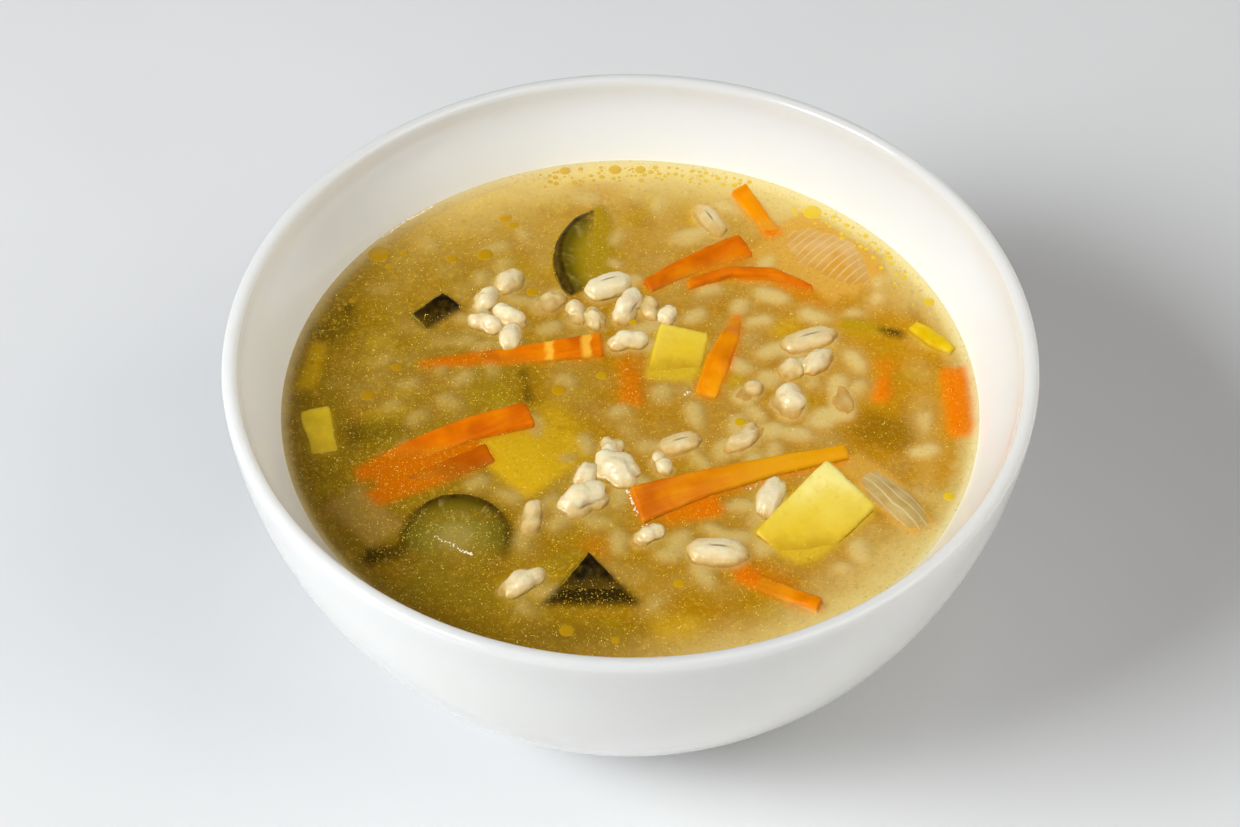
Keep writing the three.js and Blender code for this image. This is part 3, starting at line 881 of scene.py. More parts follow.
def grain_model(name, segments, rings, lumps, softened, seed):
    """One grain, 1 long, 1 wide and 1 high, its crease up."""
    bpy.ops.object.select_all(action="DESELECT")
    bpy.ops.mesh.primitive_uv_sphere_add(segments=segments, ring_count=rings, radius=0.5)
    piece = bpy.context.object
    piece.name = name
    edit(piece, "VERT")
    bpy.ops.transform.rotate(value=math.pi / 2, orient_axis="Y", center_override=(0, 0, 0))
    select_points(piece, lambda p: abs(p.y) < 0.02 and p.z > 0.1)
    bpy.ops.transform.translate(value=(0, 0, -0.045))
    select_points(piece, lambda p: p.x > 0.3)
    bpy.ops.transform.resize(value=(1, 0.86, 0.86), center_override=(0.4, 0, 0))
    bpy.ops.object.mode_set(mode="OBJECT")
    modify(piece, "CAST", cast_type="CUBOID", factor=PLUMPNESS, size=0.42, radius=0)
    piece.location = (seed, 0, 0)
    for kind, size, strength in lumps:
        texture = bpy.data.textures.new(f"{name}_{size}", kind)
        texture.noise_scale = size
        modify(
            piece, "DISPLACE", texture=texture, texture_coords="GLOBAL", strength=strength, mid_level=0.4,
        )
    modify(piece, "SMOOTH", factor=0.5, iterations=softened)
    piece.location = (0, 0, 0)
    store_own(piece, points_of(piece))
    return piece


def burst_model(name, lobes, seed):
    """A burst grain: round lobes of its swollen inside, joined, remeshed and softened."""
    lots = random.Random(seed)
    bpy.ops.object.select_all(action="DESELECT")
    parts = []
    for i in range(lobes):
        turn = math.tau * i / lobes + lots.uniform(-0.4, 0.4)
        radius = lots.uniform(0.2, 0.3)
        reach = lots.uniform(0.16, 0.26) if i else 0
        place = (1.2 * reach * math.cos(turn), reach * math.sin(turn), lots.uniform(-0.08, 0.16))
        bpy.ops.mesh.primitive_ico_sphere_add(subdivisions=3, radius=radius, location=place)
        parts.append(bpy.context.object)
    only(*parts)
    bpy.ops.object.join()
    bpy.ops.object.transform_apply(location=True, rotation=True, scale=True)
    piece = bpy.context.object
    piece.name = name
    modify(piece, "REMESH", mode="VOXEL", voxel_size=0.045)
    texture = bpy.data.textures.new(name, "CLOUDS")
    texture.noise_scale = 0.2
    modify(piece, "DISPLACE", texture=texture, texture_coords="LOCAL", strength=0.1, mid_level=0.5)
    modify(piece, "SMOOTH", factor=0.5, iterations=3)
    bpy.ops.object.origin_set(type="GEOMETRY_ORIGIN", center="BOUNDS")
    piece.dimensions = (1.05, 1.05, 1)
    bpy.ops.object.transform_apply(location=True, rotation=True, scale=True)
    store_own(piece, points_of(piece))
    return piece


def spread(name, models, rows):
    """Copies models to rows of x, y, z, length, width, heading and roll, and joins the copies."""
    copies = []
    for i, (x, y, z, length, width, heading, roll) in enumerate(rows):
        model = models[0] if roll == 0 else models[1 + i % (len(models) - 1)]
        copy = bpy.data.objects.new(name, model.data.copy())
        scene.collection.objects.link(copy)
        turn = Matrix.Rotation(math.radians(heading), 4, "Z") @ Matrix.Rotation(math.radians(roll), 4, "X")
        size = Matrix.Diagonal((length * MM, width * MM, width * GRAIN_FLATNESS * MM, 1))
        place = Matrix.Translation(Vector((x, y, z + SOUP_LEVEL)) * MM)
        copy.matrix_world = place @ turn @ size
        copies.append(copy)
    only(*copies)
    bpy.ops.object.transform_apply(location=True, rotation=True, scale=True)
    bpy.ops.object.join()
    piece = bpy.context.object
    piece.name = name
    return piece


FINE_LUMPS = [[("CLOUDS", 0.5, 0.14)], [("CLOUDS", 0.42, 0.26), ("CLOUDS", 0.2, 0.08)]]
BURST_LOBES = (6, 5, 7)
PLAIN_LUMPS = [[("CLOUDS", 0.45, 0.15)], [("CLOUDS", 0.45, 0.25)]]
fine_grains = [
    grain_model(f"grain_fine_{i}", 44, 30, lumps, 2, 3 * i) for i, lumps in enumerate(FINE_LUMPS)
]
plain_grains = [
    grain_model(f"grain_plain_{i}", 14, 8, lumps, 0, 3 * i) for i, lumps in enumerate(PLAIN_LUMPS)
]
fine_grains += [burst_model(f"grain_burst_{i}", lobes, i) for i, lobes in enumerate(BURST_LOBES)]

# %% Barley at the surface
GRAINS = [
    (-22, 29.4, -1.2, 6.4, 5, 60), (-26, 24.2, -0.6, 6.6, 5, 70), (-25.4, 19, -0.4, 6.6, 4.8, 140),
    (-21.4, 20, 0, 6.4, 4.6, 150), (-21.2, 15, 0.2, 5.6, 3.6, 80), (-14.6, 24.6, -1.4, 7.2, 5, 40),
    (-9.6, 21.2, -0.8, 5.6, 4.4, 100), (-6.4, 20.2, -0.4, 5.4, 4, 120), (-3.8, 27.6, 0.2, 8.6, 4.8, 22),
    (-0.6, 22.6, 0.2, 8, 4.8, 62), (3.6, 22.6, -1, 6, 4.4, 120), (-0.6, 14.4, -0.8, 7.6, 5.6, 10),
    (6.6, 20.2, 0.4, 3.6, 3.2, 60), (14.6, 45.4, -1.2, 9, 4.4, 118), (31.8, 15, -1.1, 10.6, 5, 20),
    (28.6, 8.2, -0.6, 6, 4.6, 60), (33, 9.4, -0.6, 6.6, 4, 50), (27.6, 0, -1.6, 8, 7, 100),
    (20.6, 2.4, -1.6, 6, 5, 60), (20, -8.6, -1, 9.4, 4.6, 48), (8.6, -9.6, -1.2, 8, 4.6, 20),
    (5.4, -14.6, -0.4, 5, 3.8, 110), (-3.2, -11.4, -0.2, 5.2, 4.2, 80), (-2.4, -16.2, 0.4, 8.6, 6.4, 150),
    (-7.6, -17.2, -0.4, 5.2, 4, 70), (-8.2, -22.8, 0, 9, 6.4, 25), (-16.6, -26.6, -1.4, 7.8, 4.6, 70),
    (-18.2, -40.6, -0.4, 8.4, 5, 40), (23.6, -22.4, -0.2, 8, 4.6, 72), (3, -30.4, -0.6, 6, 4.4, 30),
    (14.6, -34.2, -1, 10.2, 6, -6), (36.8, 0, -1.7, 8.4, 4.6, 100),
]


def barley_paint(tree, place):
    """White where a grain stands out, cream at the waterline, with a brown line in its crease."""
    parts = add(tree, "SeparateXYZ", links={0: own_place(tree)})
    height = add(tree, "SeparateXYZ", links={0: place}).outputs[2]
    height = maths(tree, "MULTIPLY_ADD", noise(tree, place, 1.6, 3), 1.6 * MM, height)
    low, high = (SOUP_LEVEL + 0.4) * MM, (SOUP_LEVEL + 2.6) * MM
    cream = ramp(tree, span(tree, height, low, high), (0, "#d4b062"), (0.35, "#e2c684"), (1, "#f2e4be"))
    beside = maths(tree, "ABSOLUTE", parts.outputs[1])
    line = smooth_step(tree, beside, 0.06, 0.02)
    line = maths(tree, "MULTIPLY", line, smooth_step(tree, parts.outputs[2], 0.1, 0.2))
    ends = smooth_step(tree, maths(tree, "ABSOLUTE", parts.outputs[0]), 0.24, 0.04)
    line = maths(tree, "MULTIPLY", maths(tree, "MULTIPLY", line, ends), 0.65)
    return blend_colours(tree, line, cream, "#8a6430")


soft_barley = soup_food(
    "soft_barley", barley_paint, gloss=0.16, bump_mm=0.3, bump_size=0.7, glow=0.8, glow_radius=1.8,
    shine=0.8, wetted=0.6, clearness=1.4, side_glow=0.7,
)
draw = random.Random(7)
CREASE_UP = (8, 13, 14, 20, 30)
rows = [(*row, 0 if i in CREASE_UP else draw.uniform(60, 300)) for i, row in enumerate(GRAINS)]
barley = spread("barley_floating", fine_grains, rows)
settle(barley, soft_barley, "barley", "broth", angle=179)
lie_in_haze(barley)

# %% [markdown]
# Under the surface lie many more grains, which show as soft pale lumps. Those that can be told apart
# are listed one by one, and a seeded draw scatters deeper ones between them. A piece that is wholly
# sunk casts no shadow, because the cloudy broth fills its shadow with light.

# %% Sunk barley
NEAR_GRAINS = [
    (-14.3, 18.3, 0.1, 6, 4.4, 20), (25.3, 26.3, 0.1, 8, 5.6, 160), (36.5, 4.3, 0.05, 7.5, 4.6, 75),
    (11.5, -2.4, 0.05, 8, 4.8, 100), (18.4, -4.7, 0.05, 6.4, 4.6, 70), (28.4, -7.1, 0.05, 9, 4.4, -8),
    (22.3, -32.2, 0.2, 6, 5, 100), (8.4, -30.9, 0.1, 6, 4.6, 60), (-26, -18.1, 0.05, 5.4, 4.4, 30),
    (-20.6, -21.3, 0.3, 7, 4.4, -30), (50.7, -4.2, 0.4, 8, 5, 80), (50.7, -10.7, 0.1, 7, 5, 10),
    (-1.8, -2.1, 0.3, 6.4, 5, 30), (24.2, 6, 0.05, 5.6, 4.4, 120), (-13.4, 26.9, 0.1, 6.4, 4.6, 30),
    (-24.5, 38.7, 0.5, 8, 5, 10), (44.5, 25.5, 0.5, 6, 4.6, 60), (44.5, 30.5, 0.5, 6, 4.6, 100),
    (40, 21.5, 0.5, 6, 4.4, 20), (5.8, 50.1, 0.3, 8, 4.8, 80), (-8.4, 51.9, 0.3, 8, 4.4, -20),
    (-29.3, 6.1, 0.3, 7, 5, 40), (-38.5, 5, 0.4, 6, 5, 10), (-31.4, 0.5, 0.3, 6.4, 5, 150),
    (-36.8, -3, 0.4, 6.4, 5, 60), (-24.6, 8.2, 0.4, 6, 4.6, 100), (-41.6, -0.3, 0.5, 6, 5, 30),
    (-33, 9.1, 0.5, 6, 4.6, 80), (-3, -42, 0.6, 7, 5, 20), (4, -44.7, 0.7, 7, 5, 70),
    (19, 9.4, 0.1, 8, 6, 150), (24.8, 12.6, 0.1, 7, 5.4, 20), (14.6, 4.2, 0.05, 7, 6, 40),
    (33.4, -3.4, 0.05, 8, 6, 30), (39.4, 10.4, 0.2, 7.6, 5.6, 110), (23, 19.8, 0.3, 8, 5, 10),
    (33, 21.6, 0.2, 8.4, 5.4, 160), (14.4, 27.6, 0.3, 8, 5.4, 30), (7.2, 30.8, 0.3, 7, 5, 120),
    (24.6, 34.6, 0.4, 8, 5, 60), (10.6, 41.4, 0.2, 9, 5.6, 20), (5.6, 2.6, 0.2, 6.4, 5, 80),
]
DEEP_GRAINS = 150
SUNK_REACH = 55
SUNK_SPACING = 4.4
HALF_HEIGHT = 0.45
PACKED_REACH = 5
PACKED_SPACING = 3.6
FRONT_LIMIT = -44
FRONT_LEFT_LIMIT = -48
MOST_ATTEMPTS = 8000
sunk_rows = []
places = [Vector(row[:2]) for row in GRAINS + NEAR_GRAINS] + cut_places
for x, y, depth, length, width, heading in NEAR_GRAINS:
    low = -SUNK_MARGIN - depth - width * HALF_HEIGHT
    sunk_rows.append((x, y, low, length, width, heading, draw.uniform(60, 300)))
for x, y, z, length, width, heading in GRAINS:
    for side in (0, 1, 2):
        turn = math.radians(heading + draw.uniform(0, 360))
        x2, y2 = x + PACKED_REACH * math.cos(turn), y + PACKED_REACH * math.sin(turn)
        if min((Vector((x2, y2)) - other).length for other in places) > PACKED_SPACING:
            places.append(Vector((x2, y2)))
            wide = draw.uniform(4, 5)
            low = -SUNK_MARGIN - draw.uniform(0, 0.4) - wide * HALF_HEIGHT
            length = draw.uniform(5.5, 7.5)
            sunk_rows.append((x2, y2, low, length, wide, draw.uniform(0, 180), draw.uniform(60, 300)))
attempts = 0
while len(sunk_rows) < DEEP_GRAINS + len(NEAR_GRAINS) and attempts < MOST_ATTEMPTS:
    attempts += 1
    x, y = draw.uniform(-SUNK_REACH, SUNK_REACH), draw.uniform(-SUNK_REACH, SUNK_REACH)
    if math.hypot(x, y) > SUNK_REACH or x + y < FRONT_LEFT_LIMIT or y < FRONT_LIMIT:
        continue
    if min((Vector((x, y)) - other).length for other in places) < SUNK_SPACING:
        continue
    places.append(Vector((x, y)))
    width = draw.uniform(4, 5.4)
    depth = draw.uniform(0.1, 2.2)
    low = -SUNK_MARGIN - depth - width * HALF_HEIGHT
    length = draw.uniform(5.4, 8.2)
    sunk_rows.append((x, y, low, length, width, draw.uniform(0, 180), draw.uniform(60, 300)))
sunk_barley = spread("barley_sunk", plain_grains, sunk_rows)
settle(sunk_barley, soft_barley, "barley", angle=80)
lie_in_haze(sunk_barley)
for model in fine_grains + plain_grains:
    bpy.data.objects.remove(model)

# %% [markdown]
# ## The cloudy broth
# The broth hides all but what lies in its top few millimetres, so its solid ends a hair under the
# level, and what is sunk deeper shows on it as a blurred patch. To find the patches, a ray is cast
# down through every cell of a fine grid: it gives the piece that lies there and its depth. The share
# of the piece's colour falls off with the depth, and the deeper patches are blurred more. Each point
# of the mesh then stores the colour and its share, and stands a little higher where a piece is near.

# %% Look down through the broth
HAZE_CELL = 0.5
HAZE_CELLS = 248
NEAR_DEPTH = 1.9
NEAR_BLUR = 0.5
DEEP_BLUR = 1.1
HAZE_CLEARNESS = 1.2
# Painted shade and light: each kind has a shaded tone for the near left and a lit tone for the far right.
HAZE_TONES = {
    "carrot": ("#c86800", "#fc8200"), "potato": ("#c09a10", "#eec634"), "pickle_skin": ("#2a1e04", "#403008"),
    "pickle": ("#86741a", "#c89c14"), "onion": ("#a8843e", "#e8ae48"), "barley": ("#b08e3c", "#ecce84"),
    "bowl": ("#e0c890", "#f8e8b0"), "potatoes_sunk": ("#cc9e10", "#fccc24"),
}


def slice_tone(x, y):
    """The round slice's own rings: pale middle, flesh and dark skin."""
    share = math.hypot(x - SLICE_PLACE[0], y - SLICE_PLACE[1]) / SLICE_RADIUS
    rings = ((0.3, "#a08c42"), (0.6, "#8c7a2a"), (0.86, "#766718"), (9, "#403206"))
    return np.array(linear(next(tone for reach, tone in rings if share < reach))[:3])


def haze_tone(piece, x, y):
    """A piece's tone through the haze with painted shade: darker at the shaded left, by the longest name that
    fits.
    """
    if piece.name == "pickle_slice_cooked":
        return slice_tone(x, y)
    fitting = [start for start in HAZE_TONES if piece.name.startswith(start)]
    shaded, lit = (np.array(linear(tone)[:3]) for tone in HAZE_TONES[max(fitting, key=len)])
    side = (RIGHT_SHARE * x + BACK_SHARE * y) / (2 * LIGHT_SPAN) + 0.5
    return shaded + (lit - shaded) * min(max(side, 0), 1)


def look_down():
    """The depth in mm and the colour of what lies under each cell."""
    depths = np.full((HAZE_CELLS, HAZE_CELLS), 99.0)
    colours = np.zeros((HAZE_CELLS, HAZE_CELLS, 3))
    graph = bpy.context.evaluated_depsgraph_get()
    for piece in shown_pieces():
        if not any(piece.name.startswith(start) for start in HAZE_TONES):
            continue
        solid = BVHTree.FromObject(piece, graph)
        corners = np.array([vertex[:2] for vertex in piece.bound_box]) / MM
        low = np.clip(corners.min(0) / HAZE_CELL + HAZE_CELLS / 2, 0, HAZE_CELLS - 1).astype(int)
        high = np.clip(corners.max(0) / HAZE_CELL + HAZE_CELLS / 2 + 1, 0, HAZE_CELLS).astype(int)
        for i in range(low[0], high[0]):
            for j in range(low[1], high[1]):
                x, y = (i - HAZE_CELLS / 2) * HAZE_CELL, (j - HAZE_CELLS / 2) * HAZE_CELL
                if math.hypot(x, y) > SOUP_RADIUS + 1:
                    continue
                hit = solid.ray_cast(Vector((x * MM, y * MM, 0.1)), Vector((0, 0, -1)))[0]
                if hit and max(SOUP_LEVEL - hit.z / MM, 0) < depths[i, j]:
                    depths[i, j] = max(SOUP_LEVEL - hit.z / MM, 0)
                    colours[i, j] = haze_tone(piece, x, y)
    return depths, colours


def blurred(field, radius_mm):
    """A field averaged with its neighbours again and again, which spreads it by about a radius."""
    for axis in (0, 1):
        for step in range(round(2 * (radius_mm / HAZE_CELL) ** 2)):
            padded = np.pad(field, [(1, 1) if i == axis else (0, 0) for i in range(field.ndim)], "edge")
            count = padded.shape[axis]
            parts = [padded.take(range(k, count - 2 + k), axis) for k in range(3)]
            field = (parts[0] + 2 * parts[1] + parts[2]) / 4
    return field


def haze_layers(depths, colours):
    """The share and colour of what shows through the haze: near things over the blurred deep ones."""
    share = np.exp(-np.maximum(depths - SUNK_MARGIN, 0) / HAZE_CLEARNESS)[..., None]
    near = depths[..., None] < NEAR_DEPTH
    layers = []
    for part, radius in ((share * near, NEAR_BLUR), (share * ~near, DEEP_BLUR)):
        layers.append((blurred(part, radius), blurred(part * colours, radius)))
    (near_share, near_colour), (deep_share, deep_colour) = layers
    whole = near_share + deep_share * (1 - near_share)
    colour = near_colour + deep_colour * (1 - near_share)
    return np.concatenate([colour / np.maximum(whole, 1e-6), whole], 2)


haze = haze_layers(*look_down())
print("the haze lets through", round(100 * float(haze[..., 3].mean())), "percent on average")

# %% Broth core
WALL_REACH = 0.3
MENISCUS_RISE = 0.45
MENISCUS_WIDTH = 3
CORE_TURNS = 560
CORE_RINGS = 120
CORE_RELIEF = 0.6
CORE_LEAN = 0.3
CORE_EDGE = [(0.05, 0.36), (0.35, 0.05), (0.9, -0.25), (1.6, -HAZE_DEPTH)]


def core_profile():
    """Up along the wall, then in over the short slope at the edge to the hazy top."""
    points = [(0, FLOOR_Z - WALL_REACH)]
    for (r, z), (r2, z2) in zip(inside[::-1], inside[-2::-1]):
        if z2 >= SOUP_LEVEL - 1:
            break
        points.append((r2 + WALL_REACH * 0.9, z2 - WALL_REACH * 0.4))
    edge = SOUP_RADIUS + WALL_REACH
    points.append((edge + CORE_LEAN, SOUP_LEVEL + MENISCUS_RISE))
    points += [(edge - inwards, SOUP_LEVEL + up) for inwards, up in CORE_EDGE]
    start = edge - CORE_EDGE[-1][0]
    points += [(start * (1 - i / CORE_RINGS), SOUP_LEVEL - HAZE_DEPTH) for i in range(1, CORE_RINGS + 1)]
    return points


def haze_at(points):
    """The haze's colour and share at places in mm, read between the cells."""
    at = np.clip(points[:, :2] / HAZE_CELL + HAZE_CELLS / 2, 0, HAZE_CELLS - 1.001)
    cell = at.astype(int)
    part = (at - cell)[:, :, None]
    i, j = cell.T
    near = haze[i, j] * (1 - part[:, 0]) + haze[i + 1, j] * part[:, 0]
    far = haze[i, j + 1] * (1 - part[:, 0]) + haze[i + 1, j + 1] * part[:, 0]
    return near * (1 - part[:, 1]) + far * part[:, 1]


def take_on_haze(piece):
    """Stores the haze at every point as the attribute sunk, and lowers the top where it is empty."""
    points = points_of(piece, np.float32)
    seen = haze_at(points / MM)
    attribute = piece.data.attributes.new("sunk", "FLOAT_COLOR", "POINT")
    attribute.data.foreach_set("color", seen.astype(np.float32).ravel())
    on_top = np.abs(points[:, 2] - (SOUP_LEVEL - HAZE_DEPTH) * MM) < 0.05 * MM
    points[on_top, 2] -= CORE_RELIEF * MM * (1 - seen[on_top, 3])
    piece.data.vertices.foreach_set("co", points.ravel())
    piece.data.update()


def cloudy_broth():
    """Meat-free stock clouded by starch: no clear edge, a soft glow and the broth's tint, with painted shade
    and light in it and in the haze.
    """
    material, tree, output, place = new_material("cloudy_broth")
    sunk = add(tree, "Attribute", attribute_name="sunk")
    colour = blend_colours(tree, sunk.outputs["Alpha"], broth_tint(tree, place), sunk.outputs["Color"])
    flecks = noise(tree, place, 0.7, 3)
    pale = maths(tree, "MULTIPLY", smooth_step(tree, flecks, 0.54, 0.74), 0.2)
    dark = maths(tree, "MULTIPLY", smooth_step(tree, flecks, 0.46, 0.28), 0.2)
    colour = blend_colours(tree, pale, colour, "#ecc868")
    colour = blend_colours(tree, dark, colour, "#8c6208")
    values = {
        "IOR": 1.34, "Specular IOR Level": 0, "Roughness": 0.9, "Subsurface Weight": 0.25,
        "Subsurface Radius": (1, 0.9, 0.8), "Subsurface Scale": 1 * MM,
    }
    shader = add(tree, "BsdfPrincipled", values, {"Base Color": colour})
    tree.links.new(shader.outputs[0], output.inputs[0])
    return material


broth_core = turned("broth_core", core_profile(), CORE_TURNS)
take_on_haze(broth_core)
settle(broth_core, cloudy_broth(), "broth", "broth", angle=80)
broth_core.visible_shadow = False

# %% [markdown]
# ## The clear top layer
# Over the haze lies a thin clear layer that reaches a hair into the core and the bowl's wall, so
# that no air shows between them. It climbs the wall as a meniscus, the little slope where it wets
# it. Its own colour is nothing: it lets the pieces through and mirrors a little, more at a low
# angle, as all liquids do. That is a Transparent shader mixed with a glossy one by Fresnel.

# %% Clear layer of broth
LAYER_BOTTOM = HAZE_DEPTH + CORE_RELIEF + 0.5
LAYER_TURNS = 160
LAYER_STEPS = 70
LAYER_INSET = 4
LAYER_LEAN = 0.25
STEPS_GROW = 1.25
STRAIGHT_MIRROR = 0.012
GLANCING_MIRROR = 0.3


def layer_profile():
    """Bottom inside the core, side inside the wall, and a top that climbs the wall as a meniscus."""
    edge = SOUP_RADIUS + WALL_REACH
    points = [(0, SOUP_LEVEL - LAYER_BOTTOM), (edge - LAYER_INSET, SOUP_LEVEL - LAYER_BOTTOM)]
    points.append((edge + LAYER_LEAN, SOUP_LEVEL + MENISCUS_RISE))
    for i in range(1, LAYER_STEPS + 1):
        share = (i / LAYER_STEPS) ** STEPS_GROW
        inwards = share * edge
        rise = MENISCUS_RISE * max(0, 1 - inwards / MENISCUS_WIDTH) ** 3
        points.append((max(edge - inwards, 0), SOUP_LEVEL + rise))
    return points


def clear_broth():
    """Water with a film of fat: transparent straight on and mirror-like at a low angle."""
    material, tree, output, place = new_material("clear_broth")
    film = noise(tree, place, 9, 2)
    bump = add(tree, "Bump", {"Strength": 0.2, "Distance": 0.1 * MM}, {"Height": film}).outputs[0]
    mirror = add(tree, "BsdfAnisotropic", {"Roughness": 0.06}, {"Normal": bump})
    window = add(tree, "BsdfTransparent")
    facing = add(tree, "LayerWeight", {"Blend": 0.5}, {"Normal": bump}).outputs["Facing"]
    glance = maths(tree, "POWER", facing, 5.0)
    share = maths(tree, "MULTIPLY_ADD", glance, GLANCING_MIRROR, STRAIGHT_MIRROR)
    both = add(tree, "MixShader", links={0: share, 1: window.outputs[0], 2: mirror.outputs[0]})
    tree.links.new(both.outputs[0], output.inputs[0])
    return material


layer = turned("broth_surface", layer_profile(), LAYER_TURNS)
settle(layer, clear_broth(), "broth", angle=80)

# %% [markdown]
# ## Oil
# Fat floats as flat lenses: a few large drops, painted darker at the shaded left, and thousands of
# specks that glitter gold, their palest yellow painted in as glints. A lens is a sphere cut in half and
# pressed flat. A speck is a low cone of five sides, because each shows as a pixel or two.

# %% Oil drops
OIL_DROPS = [
    (-45.5, 36, 4), (-43.5, 33, 1.5), (-32.3, 35, 2.2), (-26.3, 36, 3), (-22.8, 45.5, 2.4), (-21.3, 43.7, 2),
    (-41, 36.5, 1.5), (-17.5, 26.5, 2.2), (-12, 58, 2), (-2.7, 58.3, 2.4), (2, 58.3, 2), (33.5, 47, 3.5),
    (-45.8, 1.3, 2.5), (-41, 8, 2), (-5, 6, 2), (-12.5, 2.5, 2.5), (0.5, 19, 1.5), (19, -5, 2),
    (54, -22, 2), (53.5, 24, 2), (8, -41, 2), (-10.5, -51, 2.5), (-2.5, -53, 1.5),
]

BEAD_INSET = 1.2
BEAD_BAND = 4
DROP_HEIGHT = 0.12


def lens_model(name, segments, rings):
    """The top half of a flat sphere, closed underneath, 1 wide."""
    bpy.ops.object.select_all(action="DESELECT")
    bpy.ops.mesh.primitive_uv_sphere_add(segments=segments, ring_count=rings, radius=0.5)
    piece = bpy.context.object
    piece.name = name
    edit(piece)
    bpy.ops.mesh.bisect(plane_co=(0, 0, 0.02), plane_no=(0, 0, 1), clear_inner=True, use_fill=True)
    bpy.ops.object.mode_set(mode="OBJECT")
    return piece


def floating_oil():
    """Warm fat: a clear yellow that deepens the broth under it, painted darker at the shaded left, with a
    sharp highlight.
    """
    material, tree, output, place = new_material("floating_oil")
    # Painted shade and light: the fat is darker at the shaded near left and brighter at the lit right.
    fat = ramp(tree, light_side(tree, place), (0, "#b08400"), (0.4, "#c89600"), (1, "#f4cc14"))
    tone = blend_colours(tree, 0.85, broth_tint(tree, place), fat)
    shader = add(tree, "BsdfPrincipled", {"Roughness": 0.12, "IOR": 1.46}, {"Base Color": tone})
    tree.links.new(shader.outputs[0], output.inputs[0])
    return material


def joined_lenses(name, model, rows, height):
    """One mesh with a copy of a lens at each row of x, y, z and width, in mm."""
    count = len(model.data.vertices)
    points = points_of(model) * (1, 1, height)
    faces = [list(face.vertices) for face in model.data.polygons]
    table = np.array(rows)
    every = points[None] * table[:, None, 3:4] + table[:, None, :3]
    mesh = bpy.data.meshes.new(name)
    all_faces = [[v + i * count for v in face] for i in range(len(rows)) for face in faces]
    mesh.from_pydata((every.reshape(-1, 3) * MM).tolist(), [], all_faces)
    piece = bpy.data.objects.new(name, mesh)
    scene.collection.objects.link(piece)
    return piece


def droplets_along(first, last, count):
    """Seeded droplets in a band beside the wall, between two directions in degrees, clear of the drops."""
    made = []
    for i in range(count):
        angle = math.radians(draw.uniform(first, last))
        radius = SOUP_RADIUS - BEAD_INSET - BEAD_BAND * draw.random() ** 1.6
        x, y, width = radius * math.cos(angle), radius * math.sin(angle), draw.uniform(0.4, 1.1)
        if all(math.hypot(x - x2, y - y2) > (width + width2) / 2 for x2, y2, width2 in OIL_DROPS + made):
            made.append((x, y, width))
    return made


drop_model = lens_model("drop", 20, 10)
beads = droplets_along(68, 108, 110) + droplets_along(30, 58, 60) + droplets_along(150, 178, 30)
drop_rows = [(x, y, SOUP_LEVEL - 0.02, width) for x, y, width in OIL_DROPS + beads]
drops = joined_lenses("oil_drops", drop_model, drop_rows, DROP_HEIGHT)
oil = floating_oil()
settle(drops, oil, "oil", angle=60)
lie_in_haze(drops)

# %% Oil specks
SPECKS = 22000
SPECK_LEAST = 0.1
SPECK_SPREAD = 0.17
SPECK_INSET = 0.8


def highest_solid():
    """A tree of everything but the clear layer, to find what stands out of the soup."""
    points, faces = [], []
    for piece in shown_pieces():
        if piece.name in ("broth_surface", "oil_drops"):
            continue
        start = len(points)
        points += [v.co.copy() for v in piece.data.vertices]
        faces += [[start + v for v in face.vertices] for face in piece.data.polygons]
    return BVHTree.FromPolygons(points, faces)


def speck_gold():
    """Tiny lenses of fat that catch the light, gold with pale yellow painted in as glints."""
    material, tree, output, place = new_material("speck_gold")
    # Painted glints: the palest yellow stands in for glints on the specks, over their gold.
    tone = ramp(tree, noise(tree, place, 1.2, 1), (0.35, "#d8a010"), (0.55, "#f8cc30"), (0.7, "#ffec80"))
    shader = add(tree, "BsdfPrincipled", {"Roughness": 0.15, "IOR": 1.46}, {"Base Color": tone})
    tree.links.new(shader.outputs[0], output.inputs[0])
    return material


solids = highest_solid()
speck_rows = []
while len(speck_rows) < SPECKS:
    angle, radius = draw.uniform(0, math.tau), (SOUP_RADIUS - SPECK_INSET) * math.sqrt(draw.random())
    x, y = radius * math.cos(angle), radius * math.sin(angle)
    hit = solids.ray_cast(Vector((x * MM, y * MM, 0.1)), Vector((0, 0, -1)))[0]
    if hit and hit.z > (SOUP_LEVEL - 0.05) * MM:
        continue
    width = SPECK_LEAST + SPECK_SPREAD * draw.random() ** 3
    speck_rows.append((x, y, SOUP_LEVEL, width))
bpy.ops.object.select_all(action="DESELECT")
bpy.ops.mesh.primitive_cone_add(vertices=5, radius1=0.5, radius2=0, depth=0.5)
speck_model = bpy.context.object
specks = joined_lenses("oil_specks", speck_model, speck_rows, 0.5)
settle(specks, speck_gold(), "oil", angle=80)
lie_in_haze(specks)
for model in (drop_model, speck_model):
    bpy.data.objects.remove(model)

# %% [markdown]
# ## Froth and painted glints
# Where a cut end breaks the surface, small bubbles cling to it, and the broth climbs a little and
# glints. Each bubble is a half sphere of half a millimetre or less, laid in short rows. The same white
# beads also make painted highlights: a glint streak along the round slice's waterline, glints on three
# grains, and two rows along the meniscus at the wall at the back left.

